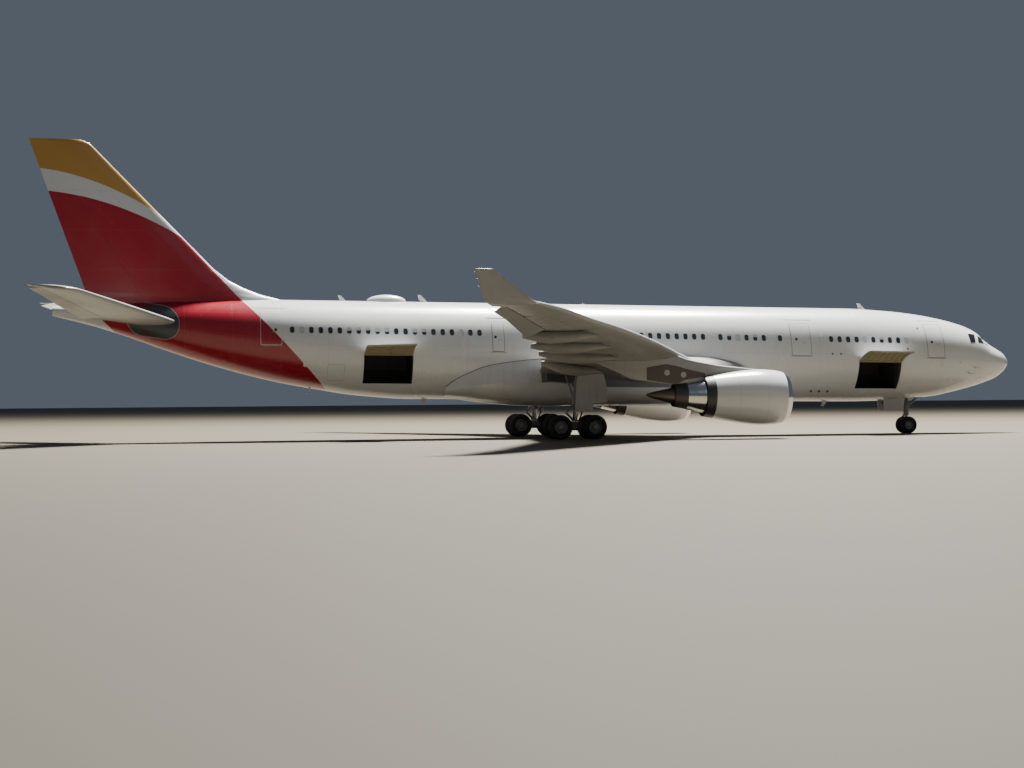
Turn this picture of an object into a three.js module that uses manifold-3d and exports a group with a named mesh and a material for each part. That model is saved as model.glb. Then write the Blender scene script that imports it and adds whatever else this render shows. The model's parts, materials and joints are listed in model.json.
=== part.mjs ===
// Wide body airliner parked on its landing gear, made as a half-size model in separate pieces.
// Lengths are metres of the real airliner, and the last group turns them into millimetres of the model.
// Stations run aft from the nose, +X points forward, +Y to port, +Z up, and Z = 0 is the ground.
// Heights called "over the axis" are measured from the fuselage axis, which slopes down to the nose.
import * as THREE from 'three';
import { mergeVertices } from 'three/addons/utils/BufferGeometryUtils.js';
import Module from 'manifold-3d';

const wasm = await Module();
wasm.setup();

// Driving dimensions
const MODEL_MM_PER_METRE = 500;
const LENGTH = 58.82;
const MID_STATION = LENGTH / 2;
const AXIS_HEIGHT = 5.0046;
const AXIS_HEIGHT_STATION = 25;
const AXIS_SLOPE = 0.0132;
const SEAT_GAP = 0.0008;
const DOOR_GAP = 0.012;
const SKIN_CUT = 0.09;
const AROUND_FUSELAGE = 32;

// The fuselage is divided where its real sections are joined.
const RADOME_END = 1.3;
const FRONT_END = 17;
const CENTRE_END = 35.9;
const REAR_END = 53.6;
const TAIL_END = 57.6;

// Columns: station, top, bottom, widest line, half width; heights are over the axis.
const FUSELAGE_SECTIONS = [
  [0, -0.28, -0.44, -0.36, 0.08],
  [0.14, -0.02, -0.72, -0.36, 0.38],
  [0.4, 0.24, -0.99, -0.36, 0.7],
  [1.0, 0.58, -1.38, -0.34, 1.12],
  [1.6, 0.94, -1.6, -0.31, 1.42],
  [2.1, 1.4, -1.77, -0.29, 1.64],
  [2.7, 1.74, -1.94, -0.26, 1.83],
  [3.7, 2.06, -2.19, -0.2, 2.12],
  [5.0, 2.34, -2.46, -0.13, 2.39],
  [6.4, 2.55, -2.61, -0.07, 2.6],
  [8.0, 2.7, -2.74, 0, 2.74],
  [10.8, 2.82, -2.82, 0, 2.82],
  [37.4, 2.82, -2.82, 0, 2.82],
  [40.6, 2.82, -2.62, 0.1, 2.77],
  [43.0, 2.82, -2.27, 0.27, 2.65],
  [45.0, 2.82, -1.92, 0.45, 2.45],
  [47.2, 2.77, -1.4, 0.68, 2.14],
  [49.4, 2.7, -0.78, 0.96, 1.81],
  [51.5, 2.6, -0.09, 1.25, 1.46],
  [53.6, 2.49, 0.64, 1.56, 1.12],
  [55.5, 2.38, 1.22, 1.8, 0.76],
  [57.6, 2.25, 1.73, 1.99, 0.26],
];

// The belly fairing wraps the wing root. Columns: station, upper edge, bottom, half width.
const BELLY_SECTIONS = [
  [15.6, -2.45, -2.85, 1.72],
  [16.4, -1.75, -2.95, 2.42],
  [17.5, -1.0, -3.02, 2.8],
  [19.8, -0.5, -3.06, 2.95],
  [23.0, -0.42, -3.15, 3.02],
  [26.6, -0.42, -3.14, 3.04],
  [29.65, -0.47, -3.2, 3.04],
  [31.4, -0.62, -3.15, 3.0],
  [33.4, -0.95, -2.98, 2.86],
  [34.5, -1.4, -2.9, 2.58],
  [35.2, -1.78, -2.87, 2.26],
  [35.6, -2.12, -2.85, 1.98],
];

// Columns: side distance, leading edge station and height, trailing edge station and height, thickness.
const WING_SECTIONS = [
  [1.6, 17.3, 3.66, 30.15, 3.74, 1.6],
  [2.95, 17.75, 3.76, 30.3, 3.82, 1.58],
  [3.7, 19.85, 3.78, 30.45, 3.92, 1.36],
  [4.6, 20.96, 3.88, 30.6, 4.05, 1.2],
  [6.4, 22.04, 4.18, 30.88, 4.28, 1.02],
  [9.8, 24.17, 4.7, 31.35, 4.62, 0.82],
  [13.6, 26.55, 5.23, 32.6, 4.97, 0.68],
  [18.6, 29.68, 5.74, 34.25, 5.4, 0.54],
  [22.3, 32.0, 6.01, 35.55, 5.72, 0.44],
  [26.1, 34.38, 6.35, 37.05, 6.12, 0.34],
  [29.2, 36.3, 6.49, 38.42, 6.42, 0.25],
];

// Trailing surfaces of the wing. Columns: name, inner and outer side distance, hinge as a share of the
// chord, degrees that the trailing edge hangs down.
const WING_SURFACES = [
  ['flap_inboard', 3.25, 9.35, 0.78, 0],
  ['flap_outboard', 9.5, 20.85, 0.76, 0],
  ['aileron', 21.05, 28.45, 0.72, 24],
];
const SURFACE_GAP = 0.02;
const SURFACE_END_GAP = 0.05;
const HINGE_LUGS = 3;
const HINGE_LUG_RADIUS = 0.03;
const HINGE_LUG_LENGTH = 0.14;

// Flap track fairings. Columns: side distance, nose station, tail station, tail bottom and top height.
const TRACK_FAIRINGS = [
  [6.95, 27.6, 31.12, 4.04, 4.34],
  [11.6, 27.9, 32.28, 4.48, 4.72],
  [16.0, 29.5, 33.67, 4.76, 4.98],
  [20.55, 31.3, 35.07, 5.08, 5.38],
];
const TRACK_FAIRING_HALF_WIDTH = 0.27;
const TRACK_FAIRING_DEPTH = 0.62;

// Winglet. Columns: side distance, leading edge station and height, trailing edge station and height,
// thickness.
const WINGLET_SECTIONS = [
  [29.46, 36.58, 6.62, 38.7, 6.58, 0.17],
  [29.62, 36.95, 6.88, 38.78, 6.84, 0.13],
  [30.12, 38.4, 7.9, 39.14, 7.9, 0.06],
];
const WINGLET_CANT = 0.48;

// Fin with the fairing at its foot. Columns: height over the axis, leading edge, trailing edge, thickness.
const FIN_SECTIONS = [
  [1.9, 43.6, 55.3, 1.0],
  [2.82, 44.8, 55.64, 0.94],
  [3.1, 46.0, 55.75, 0.9],
  [3.45, 46.95, 55.88, 0.87],
  [3.85, 47.75, 56.02, 0.84],
  [4.51, 48.62, 56.26, 0.8],
  [11.45, 55.47, 58.75, 0.3],
  [11.67, 56.0, 58.82, 0.22],
];
const RUDDER_FOOT = [52.75, 3.05];
const RUDDER_TOP = [57.95, 11.3];

// Tailplane. Columns as in the wing.
const TAILPLANE_SECTIONS = [
  [0.5, 50.2, 6.6, 55.35, 6.98, 0.56],
  [1.7, 51.0, 6.82, 55.9, 7.14, 0.52],
  [9.3, 56.0, 8.12, 58.52, 8.32, 0.24],
  [9.7, 56.6, 8.18, 58.65, 8.37, 0.17],
];
const ELEVATOR_SPAN = [1.95, 9.32];
const ELEVATOR_HINGE = 0.76;
const ELEVATOR_DROOP = 14;

// Cargo holds. Columns: name, hold from and to, doorway from and to, sill and header over the axis,
// height of the open leaf's outer edge over the axis.
const CARGO_HOLDS = [
  ['cargo_door_front', 7.5, 11.6, 8.06, 10.78, -2.05, -0.4, 0.13],
  ['cargo_door_rear', 37.2, 41.0, 37.6, 40.4, -1.96, -0.28, 0.2],
];
const HOLD_FLOOR_HALF = 1.55;
const HOLD_WALL_HALF = 2.2;
const HOLD_SHOULDER = 0.85;
const LEAF_THICKNESS = 0.13;
const LEAF_KNUCKLE = 0.03;
const LEAF_HINGE_INSET = 0.02;

// Engine, in its own frame along its axis: A is the distance aft of the reference station.
const ENGINE_SIDE = 9.37;
const ENGINE_STATION = 19;
const ENGINE_HEIGHT = 2.29;
const ENGINE_TILT = THREE.MathUtils.degToRad(1.35);
const AROUND_ENGINE = 28;
const VANES = 7;
const FAN_BLADES = 24;
const FAN_TIP = 1.205;
const DUCT_RADIUS = 1.25;
const VANE_STATION = 1.35;

// Landing gear
const MAIN_GEAR_SIDE = 5.34;
const BOGIE_STATIONS = [27.86, 29.84];
const BOGIE_MIDDLE = (BOGIE_STATIONS[0] + BOGIE_STATIONS[1]) / 2;
const MAIN_AXLE_HEIGHT = 0.69;
const MAIN_WHEEL_OFFSET = 0.7;
const LEG_RADIUS = 0.25;
const LEG_LEAN = 0.11;
const AXLE_RADIUS = 0.11;
const WHEEL_SIDES = 20;
const NOSE_GEAR_STATION = 6.67;
const NOSE_AXLE_HEIGHT = 0.52;
const NOSE_WHEEL_OFFSET = 0.355;
const NOSE_AXLE_RADIUS = 0.07;
const STEERING_JOINT_HEIGHT = 1.28;
const BORE_SIDES = 24;

const X = (station) => MID_STATION - station;
const axisHeight = (station) => AXIS_HEIGHT + AXIS_SLOPE * (station - AXIS_HEIGHT_STATION);
const point = (station, side, height) => new THREE.Vector3(X(station), side, height);
// The radius of a bore whose flats clear an axle.
const boreFor = (axle) => (axle + 1.2 * SEAT_GAP) / Math.cos(Math.PI / BORE_SIDES);

// Solids

// A geometry with only merged positions.
function bare(geometry) {
  const plain = geometry.clone();
  plain.deleteAttribute('normal');
  plain.deleteAttribute('uv');
  return mergeVertices(plain, 1e-5);
}

function toSolid(geometry) {
  const plain = bare(geometry);
  const solid = new wasm.Manifold(new wasm.Mesh({
    numProp: 3,
    vertProperties: new Float32Array(plain.attributes.position.array),
    triVerts: new Uint32Array(plain.index.array),
  }));
  if (solid.volume() > 0) return solid;
  return new wasm.Manifold(new wasm.Mesh({
    numProp: 3,
    vertProperties: new Float32Array(plain.attributes.position.array),
    triVerts: new Uint32Array(plain.index.array).reverse(),
  }));
}

function toGeometry(solid) {
  const mesh = solid.getMesh();
  const geometry = new THREE.BufferGeometry();
  geometry.setAttribute('position', new THREE.BufferAttribute(new Float32Array(mesh.vertProperties), 3));
  geometry.setIndex([...mesh.triVerts]);
  return geometry;
}

const cut = (solid, ...tools) => tools.reduce((rest, tool) => rest.subtract(tool), solid);
const join = (...solids) => solids.reduce((whole, solid) => whole.add(solid));

// A closed skin over rings of equally many points, with a flat fan over each end. The panels to port are
// split along the other diagonal than those to starboard, so that both sides of the airliner match.
function loft(rings) {
  const count = rings[0].length;
  const positions = [];
  const index = [];
  for (const ring of rings) for (const p of ring) positions.push(p.x, p.y, p.z);
  for (let r = 0; r + 1 < rings.length; r += 1) {
    for (let i = 0; i < count; i += 1) {
      const a = r * count + i;
      const b = r * count + ((i + 1) % count);
      const port = positions[3 * a + 1] + positions[3 * b + 1] > 0;
      if (port) index.push(a, b, b + count, a, b + count, a + count);
      else index.push(a, b, a + count, b, b + count, a + count);
    }
  }
  const ends = [[rings[0], 0, true], [rings.at(-1), (rings.length - 1) * count, false]];
  for (const [ring, first, turned] of ends) {
    const middle = ring.reduce((sum, p) => sum.add(p), new THREE.Vector3()).divideScalar(count);
    const centre = positions.length / 3;
    positions.push(middle.x, middle.y, middle.z);
    for (let i = 0; i < count; i += 1) {
      const a = first + i;
      const b = first + ((i + 1) % count);
      index.push(centre, ...(turned ? [b, a] : [a, b]));
    }
  }
  const geometry = new THREE.BufferGeometry();
  geometry.setAttribute('position', new THREE.Float32BufferAttribute(positions, 3));
  geometry.setIndex(index);
  return toSolid(geometry);
}

// An outline extruded at right angles to its plane. The plane is 'side' for station and height, 'plan'
// for station and side distance.
function prism(plane, outline, from, to) {
  const shape = new THREE.Shape(outline.map(([a, b]) => new THREE.Vector2(X(a), b)));
  const geometry = new THREE.ExtrudeGeometry(shape, { depth: to - from, bevelEnabled: false });
  if (plane === 'side') geometry.rotateX(Math.PI / 2).translate(0, to, 0);
  else geometry.translate(0, 0, from);
  return toSolid(geometry);
}

// A box from its lowest to its highest corner, by station, side distance and height.
function block(stations, sides, heights) {
  const [s0, s1] = stations;
  return prism('side', [[s0, heights[0]], [s1, heights[0]], [s1, heights[1]], [s0, heights[1]]], ...sides);
}

// A round bar between two points.
function bar(from, to, radius, sides = 12) {
  const length = from.distanceTo(to);
  const geometry = new THREE.CylinderGeometry(radius, radius, length, sides);
  const along = to.clone().sub(from).normalize();
  geometry.applyQuaternion(new THREE.Quaternion().setFromUnitVectors(new THREE.Vector3(0, 1, 0), along));
  const middle = from.clone().add(to).divideScalar(2);
  return toSolid(geometry.translate(middle.x, middle.y, middle.z));
}

// A profile of [radius, distance] turned about an axis along Y through a point, with a facet down.
function turnedAboutY(profile, sides, centre) {
  const geometry = new THREE.LatheGeometry(profile.map(([r, d]) => new THREE.Vector2(r, d)), sides);
  geometry.rotateY(Math.PI / sides).translate(centre.x, centre.y, centre.z);
  return toSolid(geometry);
}

function moved(solid, matrix) {
  return toSolid(toGeometry(solid).applyMatrix4(matrix));
}

// A turn by an angle about the line through a point.
function turnAbout(origin, axis, angle) {
  const there = new THREE.Matrix4().makeTranslation(origin.x, origin.y, origin.z);
  const back = new THREE.Matrix4().makeTranslation(-origin.x, -origin.y, -origin.z);
  return there.multiply(new THREE.Matrix4().makeRotationAxis(axis, angle)).multiply(back);
}

// Tables

// The row of a table at any first-column value, by straight lines between rows.
function rowAt(table, value) {
  const last = table.length - 1;
  const next = THREE.MathUtils.clamp(table.findIndex((row) => row[0] >= value), 1, last);
  const high = value > table[last][0] ? last : next;
  const [a, b] = [table[high - 1], table[high]];
  const share = (value - a[0]) / (b[0] - a[0]);
  return a.map((v, column) => v + (b[column] - v) * share);
}

const stationsBetween = (table, from, to) => [
  from,
  ...table.map((row) => row[0]).filter((station) => station > from + 1e-6 && station < to - 1e-6),
  to,
];

// Fuselage

// Upper and lower half ellipse that meet at the widest line.
function fuselageRing(station, grow) {
  const [, top, bottom, widest, half] = rowAt(FUSELAGE_SECTIONS, station);
  return Array.from({ length: AROUND_FUSELAGE }, (_, i) => {
    const angle = (2 * Math.PI * i) / AROUND_FUSELAGE;
    const reach = (Math.sin(angle) > 0 ? top - widest : widest - bottom) + grow;
    const height = axisHeight(station) + widest + reach * Math.sin(angle);
    return point(station, (half + grow) * Math.cos(angle), height);
  });
}

function fuselage(from, to, grow = 0) {
  return loft(stationsBetween(FUSELAGE_SECTIONS, from, to).map((station) => fuselageRing(station, grow)));
}

// The half width of the fuselage at a height over the axis.
function fuselageSide(station, over) {
  const [, top, bottom, widest, half] = rowAt(FUSELAGE_SECTIONS, station);
  const reach = over > widest ? top - widest : widest - bottom;
  return half * Math.sqrt(Math.max(0, 1 - ((over - widest) / reach) ** 2));
}

// An outline in station and height over the axis, extruded sideways.
function overAxis(outline, from, to) {
  return prism('side', outline.map(([station, over]) => [station, axisHeight(station) + over]), from, to);
}

const fuselageGrown = fuselage(FUSELAGE_SECTIONS[0][0], TAIL_END, SEAT_GAP);

// Belly fairing: a squarish tub under the fuselage. From its upper edge it bulges to its full width, and
// its lower half is a superellipse.
function bellyRing([station, edge, bottom, half], grow) {
  const SQUARENESS = 2.9;
  const STEPS = 7;
  const shoulder = edge + (bottom - edge) * 0.38;
  const edgeSide = fuselageSide(station, edge) + 0.03;
  const port = [[edgeSide + grow, edge + grow], [(edgeSide + half) / 2 + 0.03 + grow, (edge + shoulder) / 2]];
  for (let i = 0; i <= STEPS; i += 1) {
    const angle = (Math.PI / 2) * (i / STEPS);
    port.push([
      (half + grow) * Math.cos(angle) ** (2 / SQUARENESS),
      shoulder - (shoulder - bottom + grow) * Math.sin(angle) ** (2 / SQUARENESS),
    ]);
  }
  port.at(-1)[0] = 0;
  const starboard = port.slice(0, -1).reverse().map(([side, over]) => [-side, over]);
  return [...port, ...starboard].map(([side, over]) => point(station, side, axisHeight(station) + over));
}

const belly = (grow) => loft(BELLY_SECTIONS.map((row) => bellyRing(row, grow)));
const bellyFairing = cut(belly(0), fuselageGrown);
const bellyGrown = belly(SEAT_GAP);

// Cargo holds, their doorways and their doors, all on the starboard side.
function cargoDoor([name, holdFrom, holdTo, from, to, sill, header, openOver]) {
  const section = [
    [-HOLD_FLOOR_HALF, sill],
    [HOLD_FLOOR_HALF, sill],
    [HOLD_WALL_HALF, sill + HOLD_SHOULDER],
    [HOLD_WALL_HALF, header],
    [-HOLD_WALL_HALF, header],
    [-HOLD_WALL_HALF, sill + HOLD_SHOULDER],
  ];
  const hold = loft([holdFrom, holdTo].map((station) => (
    section.map(([side, over]) => point(station, side, axisHeight(station) + over))
  )));
  const outline = (gap, top) => [
    [from + gap, sill + gap],
    [to - gap, sill + gap],
    [to - gap, top],
    [from + gap, top],
  ];
  const doorway = overAxis(outline(0, header), -3.2, -1.5);

  const hingeOver = header - LEAF_KNUCKLE - SEAT_GAP;
  const middle = (from + to) / 2;
  const hinge = (station) => (
    point(station, LEAF_HINGE_INSET - fuselageSide(station, hingeOver), axisHeight(station) + hingeOver)
  );
  const skin = cut(fuselage(from, to), fuselage(from - 1, to + 1, -LEAF_THICKNESS));
  const panel = skin.intersect(overAxis(outline(DOOR_GAP, hingeOver), -3.2, -1.2));
  const knuckle = bar(hinge(from + DOOR_GAP), hinge(to - DOOR_GAP), LEAF_KNUCKLE, 16);

  // The leaf is made shut and then turned up to where the outer edge stands open.
  const reach = new THREE.Vector2(
    fuselageSide(middle, sill + DOOR_GAP) - fuselageSide(middle, hingeOver),
    sill + DOOR_GAP - hingeOver,
  );
  const shut = Math.atan2(reach.y, reach.x);
  const open = Math.asin((openOver - hingeOver) / reach.length());
  const turn = open - shut;
  const forward = hinge(from).sub(hinge(to)).normalize();
  const pivot = hinge(from).lerp(hinge(to), 0.5);
  const leaf = moved(join(panel, knuckle), turnAbout(pivot, forward, -turn));
  return { name, hollow: join(hold, doorway), leaf };
}

const cargoDoors = CARGO_HOLDS.map(cargoDoor);

// Cockpit glazing: one band of panes let into the skin. Columns: station, height over the axis.
const GLAZING_OUTLINE = [
  [1.5, 0.94],
  [2.15, 0.66],
  [3.3, 0.62],
  [3.36, 0.74],
  [3.26, 1.18],
  [2.85, 1.32],
  [2.4, 1.6],
  [1.9, 1.9],
  [1.45, 1.6],
];
const glazingSkin = cut(fuselage(RADOME_END, 4), fuselage(RADOME_END - 0.2, 4.2, -SKIN_CUT));
const glazingSeat = cut(fuselage(RADOME_END, 4, 0.1), fuselage(RADOME_END - 0.2, 4.2, -SKIN_CUT - SEAT_GAP))
  .intersect(overAxis(GLAZING_OUTLINE, -3, 3));
const glazingMiddle = new THREE.Vector2(2.4, 1.15);
const glazing = glazingSkin.intersect(overAxis(
  GLAZING_OUTLINE.map(([station, over]) => {
    const inward = glazingMiddle.clone().sub(new THREE.Vector2(station, over)).setLength(SEAT_GAP * 1.5);
    return [station + inward.x, over + inward.y];
  }),
  -3,
  3,
));

// The two small doors behind the nose leg hang open from the belly skin.
const NOSE_DOORS = { stations: [6.95, 8.35], side: 0.5, thickness: 0.04, drop: 0.62 };
const noseDoors = [-1, 1].map((side) => {
  const middle = side * NOSE_DOORS.side;
  const half = NOSE_DOORS.thickness / 2;
  const [from, to] = NOSE_DOORS.stations;
  return overAxis(
    [[from, -2.4], [to, -2.5], [to - 0.1, -2.77 - NOSE_DOORS.drop], [from + 0.12, -2.68 - NOSE_DOORS.drop]],
    middle - half,
    middle + half,
  );
});

const radome = fuselage(FUSELAGE_SECTIONS[0][0], RADOME_END);
const fuselageFront = cut(
  join(fuselage(RADOME_END, FRONT_END), ...noseDoors),
  glazingSeat,
  cargoDoors[0].hollow,
);
const fuselageCentre = fuselage(FRONT_END, CENTRE_END);
const fuselageRear = cut(fuselage(CENTRE_END, REAR_END), cargoDoors[1].hollow);

// The tail cone holds the auxiliary power unit, whose exhaust is the round hole in its end.
const TAIL_EXHAUST = { radius: 0.17, depth: 0.5, over: 1.99 };
const exhaustHole = bar(
  point(TAIL_END - TAIL_EXHAUST.depth, 0, axisHeight(TAIL_END) + TAIL_EXHAUST.over),
  point(TAIL_END + 0.2, 0, axisHeight(TAIL_END) + TAIL_EXHAUST.over),
  TAIL_EXHAUST.radius,
  20,
);
const tailCone = cut(fuselage(REAR_END, TAIL_END), exhaustHole);

// Antenna dome on the crown
const DOME = { station: 38.75, halfLength: 1.15, halfWidth: 0.5, height: 0.39 };
const dome = (() => {
  const geometry = new THREE.SphereGeometry(1, 20, 12);
  geometry.scale(DOME.halfLength, DOME.halfWidth, DOME.height + 0.15);
  const crown = axisHeight(DOME.station) + rowAt(FUSELAGE_SECTIONS, DOME.station)[1];
  return cut(toSolid(geometry.translate(X(DOME.station), 0, crown - 0.15)), fuselageGrown);
})();

// Wings and tail surfaces

// Share of the chord, share of the thickness above and below the chord line.
const FOIL = [
  [0, 0, 0],
  [0.02, 0.22, 0.16],
  [0.08, 0.4, 0.28],
  [0.22, 0.56, 0.4],
  [0.4, 0.58, 0.42],
  [0.62, 0.44, 0.3],
  [0.82, 0.24, 0.13],
  [1, 0.03, 0.03],
];
const MIRRORED_FOIL = FOIL.map(([share, above, below]) => [share, (above + below) / 2, (above + below) / 2]);

// A foil between two edge points; its thickness lies along the given direction.
function foilRing(lead, trail, thickness, across, foil = FOIL) {
  const at = (share, off) => lead.clone().lerp(trail, share).addScaledVector(across, off * thickness);
  const above = foil.map(([share, up]) => at(share, up)).reverse();
  const below = foil.slice(1).map(([share, , down]) => at(share, -down));
  return [...above, ...below];
}

const UP = new THREE.Vector3(0, 0, 1);

// Rings of a surface on the starboard side, from a table like the wing's.
const surfaceRings = (table, foil) => table.map((row) => {
  const [side, leadStation, leadHeight, trailStation, trailHeight, thick] = row;
  const lead = point(leadStation, -side, leadHeight);
  return foilRing(lead, point(trailStation, -side, trailHeight), thick, UP, foil);
});

// The point on a surface's chord line at a side distance and a share of the chord.
function chordPoint(table, side, share) {
  const [, leadStation, leadHeight, trailStation, trailHeight] = rowAt(table, side);
  const lead = point(leadStation, -side, leadHeight);
  return lead.lerp(point(trailStation, -side, trailHeight), share);
}

// Cuts a hinged surface out of its panel: the seat is the space it leaves. The piece is set back from its
// hinge line and ends, turned down about the lower skin, and hung on lugs that reach back to the panel.
function hinged(panel, table, foil, inner, outer, hinge, droop) {
  const gap = droop ? SURFACE_GAP : SEAT_GAP;
  const [innerStation, outerStation] = [inner, outer].map((side) => (
    MID_STATION - chordPoint(table, side, hinge).x
  ));
  const hingeStation = (side) => THREE.MathUtils.mapLinear(side, inner, outer, innerStation, outerStation);
  const outline = (back, endGap) => {
    const [near, far] = [inner + endGap, outer - endGap];
    const [front, rear] = [hingeStation(near) + back, hingeStation(far) + back];
    return [[front, -near], [rear, -far], [rear + 6, -far], [front + 6, -near]];
  };
  const seat = prism('plan', outline(0, 0), 2, 10);
  const piece = panel.intersect(prism('plan', outline(gap, SURFACE_END_GAP), 2, 10));
  if (!droop) return { seat, piece };

  const lowerSkin = (side) => {
    const edge = chordPoint(table, side, hinge);
    edge.z -= rowAt(foil, hinge)[2] * rowAt(table, side)[5];
    return edge;
  };
  const from = lowerSkin(inner);
  const along = lowerSkin(outer).sub(from);
  const axis = along.clone().normalize();
  const aft = new THREE.Vector3(along.y, -along.x, 0).normalize();
  const lugs = Array.from({ length: HINGE_LUGS }, (_, i) => {
    const foot = from.clone().addScaledVector(along, (i + 0.5) / HINGE_LUGS);
    foot.z += 2 * HINGE_LUG_RADIUS;
    return bar(
      foot.clone().addScaledVector(aft, SEAT_GAP),
      foot.clone().addScaledVector(aft, HINGE_LUG_LENGTH),
      HINGE_LUG_RADIUS,
      8,
    );
  });
  const turned = moved(piece, turnAbout(from, axis, THREE.MathUtils.degToRad(droop)));
  return { seat, piece: join(turned, ...lugs) };
}

const wingSurface = loft(surfaceRings(WING_SECTIONS, FOIL));
const wingPanel = cut(wingSurface, fuselageGrown, bellyGrown);
const wingParts = WING_SURFACES.map(([name, inner, outer, hinge, droop]) => (
  { name, ...hinged(wingPanel, WING_SECTIONS, FOIL, inner, outer, hinge, droop) }
));
const wing = cut(wingPanel, ...wingParts.map((part) => part.seat));

// Winglet: the tip's own foil, then foils that lean outward.
const winglet = (() => {
  const lean = new THREE.Vector3(0, Math.cos(WINGLET_CANT), Math.sin(WINGLET_CANT));
  const root = surfaceRings([WING_SECTIONS.at(-1)], FOIL)[0];
  root.forEach((p) => { p.y -= SEAT_GAP; });
  const rings = WINGLET_SECTIONS.map(([side, leadStation, leadHeight, trailStation, trailHeight, thick]) => (
    foilRing(point(leadStation, -side, leadHeight), point(trailStation, -side, trailHeight), thick, lean)
  ));
  return loft([root, ...rings]);
})();

// Flap track fairings: canoes under the rear of the wing. Columns: share of the length, share of the
// depth, share of the width.
const CANOE = [
  [0, 0.12, 0.1],
  [0.15, 0.55, 0.62],
  [0.4, 0.95, 1],
  [0.65, 1, 1],
  [0.88, 0.7, 0.62],
  [1, 0.38, 0.16],
];
function trackFairing([side, from, to, tailBottom, tailTop]) {
  const SIDES = 8;
  const noseHeight = chordPoint(WING_SECTIONS, side, 0.5).z - 0.3 * rowAt(WING_SECTIONS, side)[5];
  return CANOE.map(([share, depth, width]) => {
    const station = THREE.MathUtils.lerp(from, to, share);
    const keel = THREE.MathUtils.lerp(noseHeight - 0.3, (tailBottom + tailTop) / 2, share ** 1.6);
    const half = (TRACK_FAIRING_DEPTH * depth) / 2;
    return Array.from({ length: SIDES }, (_, i) => {
      const angle = (2 * Math.PI * (i + 0.5)) / SIDES;
      const wide = TRACK_FAIRING_HALF_WIDTH * width * Math.cos(angle);
      return point(station, -side + wide, keel + half * (1 - depth) + half * Math.sin(angle));
    });
  });
}
// What hangs under the wing is cut by the wing and by the wing moved a gap down, forward and aft.
const wingGrown = join(wingSurface, ...[[0, -1], [1, 0], [-1, 0]].map(([forward, up]) => (
  moved(wingSurface, new THREE.Matrix4().makeTranslation(2 * SEAT_GAP * forward, 0, 2 * SEAT_GAP * up))
)));
const trackFairings = TRACK_FAIRINGS.map((row) => cut(loft(trackFairing(row)), wingGrown));

// Fin and rudder
const finSurface = loft(FIN_SECTIONS.map(([over, lead, trail, thick]) => foilRing(
  point(lead, 0, axisHeight(lead) + over),
  point(trail, 0, axisHeight(trail) + over),
  thick,
  new THREE.Vector3(0, 1, 0),
  MIRRORED_FOIL,
)));
const finPanel = cut(finSurface, fuselageGrown);
const rudderOutline = (gap) => [
  [RUDDER_FOOT[0] + gap, RUDDER_FOOT[1] + gap],
  [RUDDER_FOOT[0] + 6, RUDDER_FOOT[1] + gap],
  [RUDDER_TOP[0] + 3, RUDDER_TOP[1] - gap],
  [RUDDER_TOP[0] + gap, RUDDER_TOP[1] - gap],
];
const fin = cut(finPanel, overAxis(rudderOutline(0), -2, 2));
const rudder = finPanel.intersect(overAxis(rudderOutline(SEAT_GAP), -2, 2));

// Tailplane and elevator
const tailplanePanel = cut(loft(surfaceRings(TAILPLANE_SECTIONS, MIRRORED_FOIL)), fuselageGrown);
const elevator = hinged(
  tailplanePanel,
  TAILPLANE_SECTIONS,
  MIRRORED_FOIL,
  ...ELEVATOR_SPAN,
  ELEVATOR_HINGE,
  ELEVATOR_DROOP,
);
const tailplane = cut(tailplanePanel, elevator.seat);

// Engine

const enginePlace = new THREE.Matrix4()
  .makeTranslation(X(ENGINE_STATION), -ENGINE_SIDE, ENGINE_HEIGHT)
  .multiply(new THREE.Matrix4().makeRotationY(ENGINE_TILT));

// A profile of [distance aft, radius] turned about the engine's axis. Facets are centred on the vertical.
function turnedInEngine(profile, sides = AROUND_ENGINE) {
  const outline = profile.map(([aft, radius]) => new THREE.Vector2(radius, aft));
  const geometry = new THREE.LatheGeometry(outline, sides);
  geometry.rotateY(Math.PI / sides).rotateZ(Math.PI / 2);
  return toSolid(geometry.applyMatrix4(enginePlace));
}

const COWL_OUTSIDE = [
  [-1.2, 1.24],
  [-1.12, 1.33],
  [-0.9, 1.42],
  [-0.4, 1.5],
  [0.3, 1.53],
  [1.2, 1.48],
  [2.2, 1.35],
  [3.1, 1.2],
  [3.6, 1.12],
];
const COWL_INSIDE = [
  [3.6, 1.09],
  [2.6, 1.2],
  [1.7, DUCT_RADIUS],
  [-0.25, DUCT_RADIUS],
  [-0.75, 1.18],
  [-1.1, 1.17],
];
const fanCowl = turnedInEngine([...COWL_OUTSIDE, ...COWL_INSIDE, COWL_OUTSIDE[0]]);
const cowlFilled = turnedInEngine([
  [COWL_OUTSIDE[0][0], 0],
  ...COWL_OUTSIDE.map(([aft, radius]) => [aft, radius + SEAT_GAP * 1.5]),
  [COWL_OUTSIDE.at(-1)[0] + SEAT_GAP, 0],
]);

// A flat blade between two radii in the engine's own frame. Its chord leans from the axis by the pitch.
function blade(around, aft, [rootRadius, tipRadius], [rootPitch, tipPitch], chord, thickness) {
  const ring = (radius, pitch) => [[-1, -1], [1, -1], [1, 1], [-1, 1]].map(([along, through]) => {
    const a = (chord / 2) * along;
    const t = (thickness / 2) * through;
    const axial = a * Math.cos(pitch) - t * Math.sin(pitch);
    const tangent = a * Math.sin(pitch) + t * Math.cos(pitch);
    const local = new THREE.Vector3(-aft - axial, tangent, radius);
    return local.applyAxisAngle(new THREE.Vector3(1, 0, 0), around).applyMatrix4(enginePlace);
  });
  return loft([ring(rootRadius, rootPitch), ring(tipRadius, tipPitch)]);
}

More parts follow.
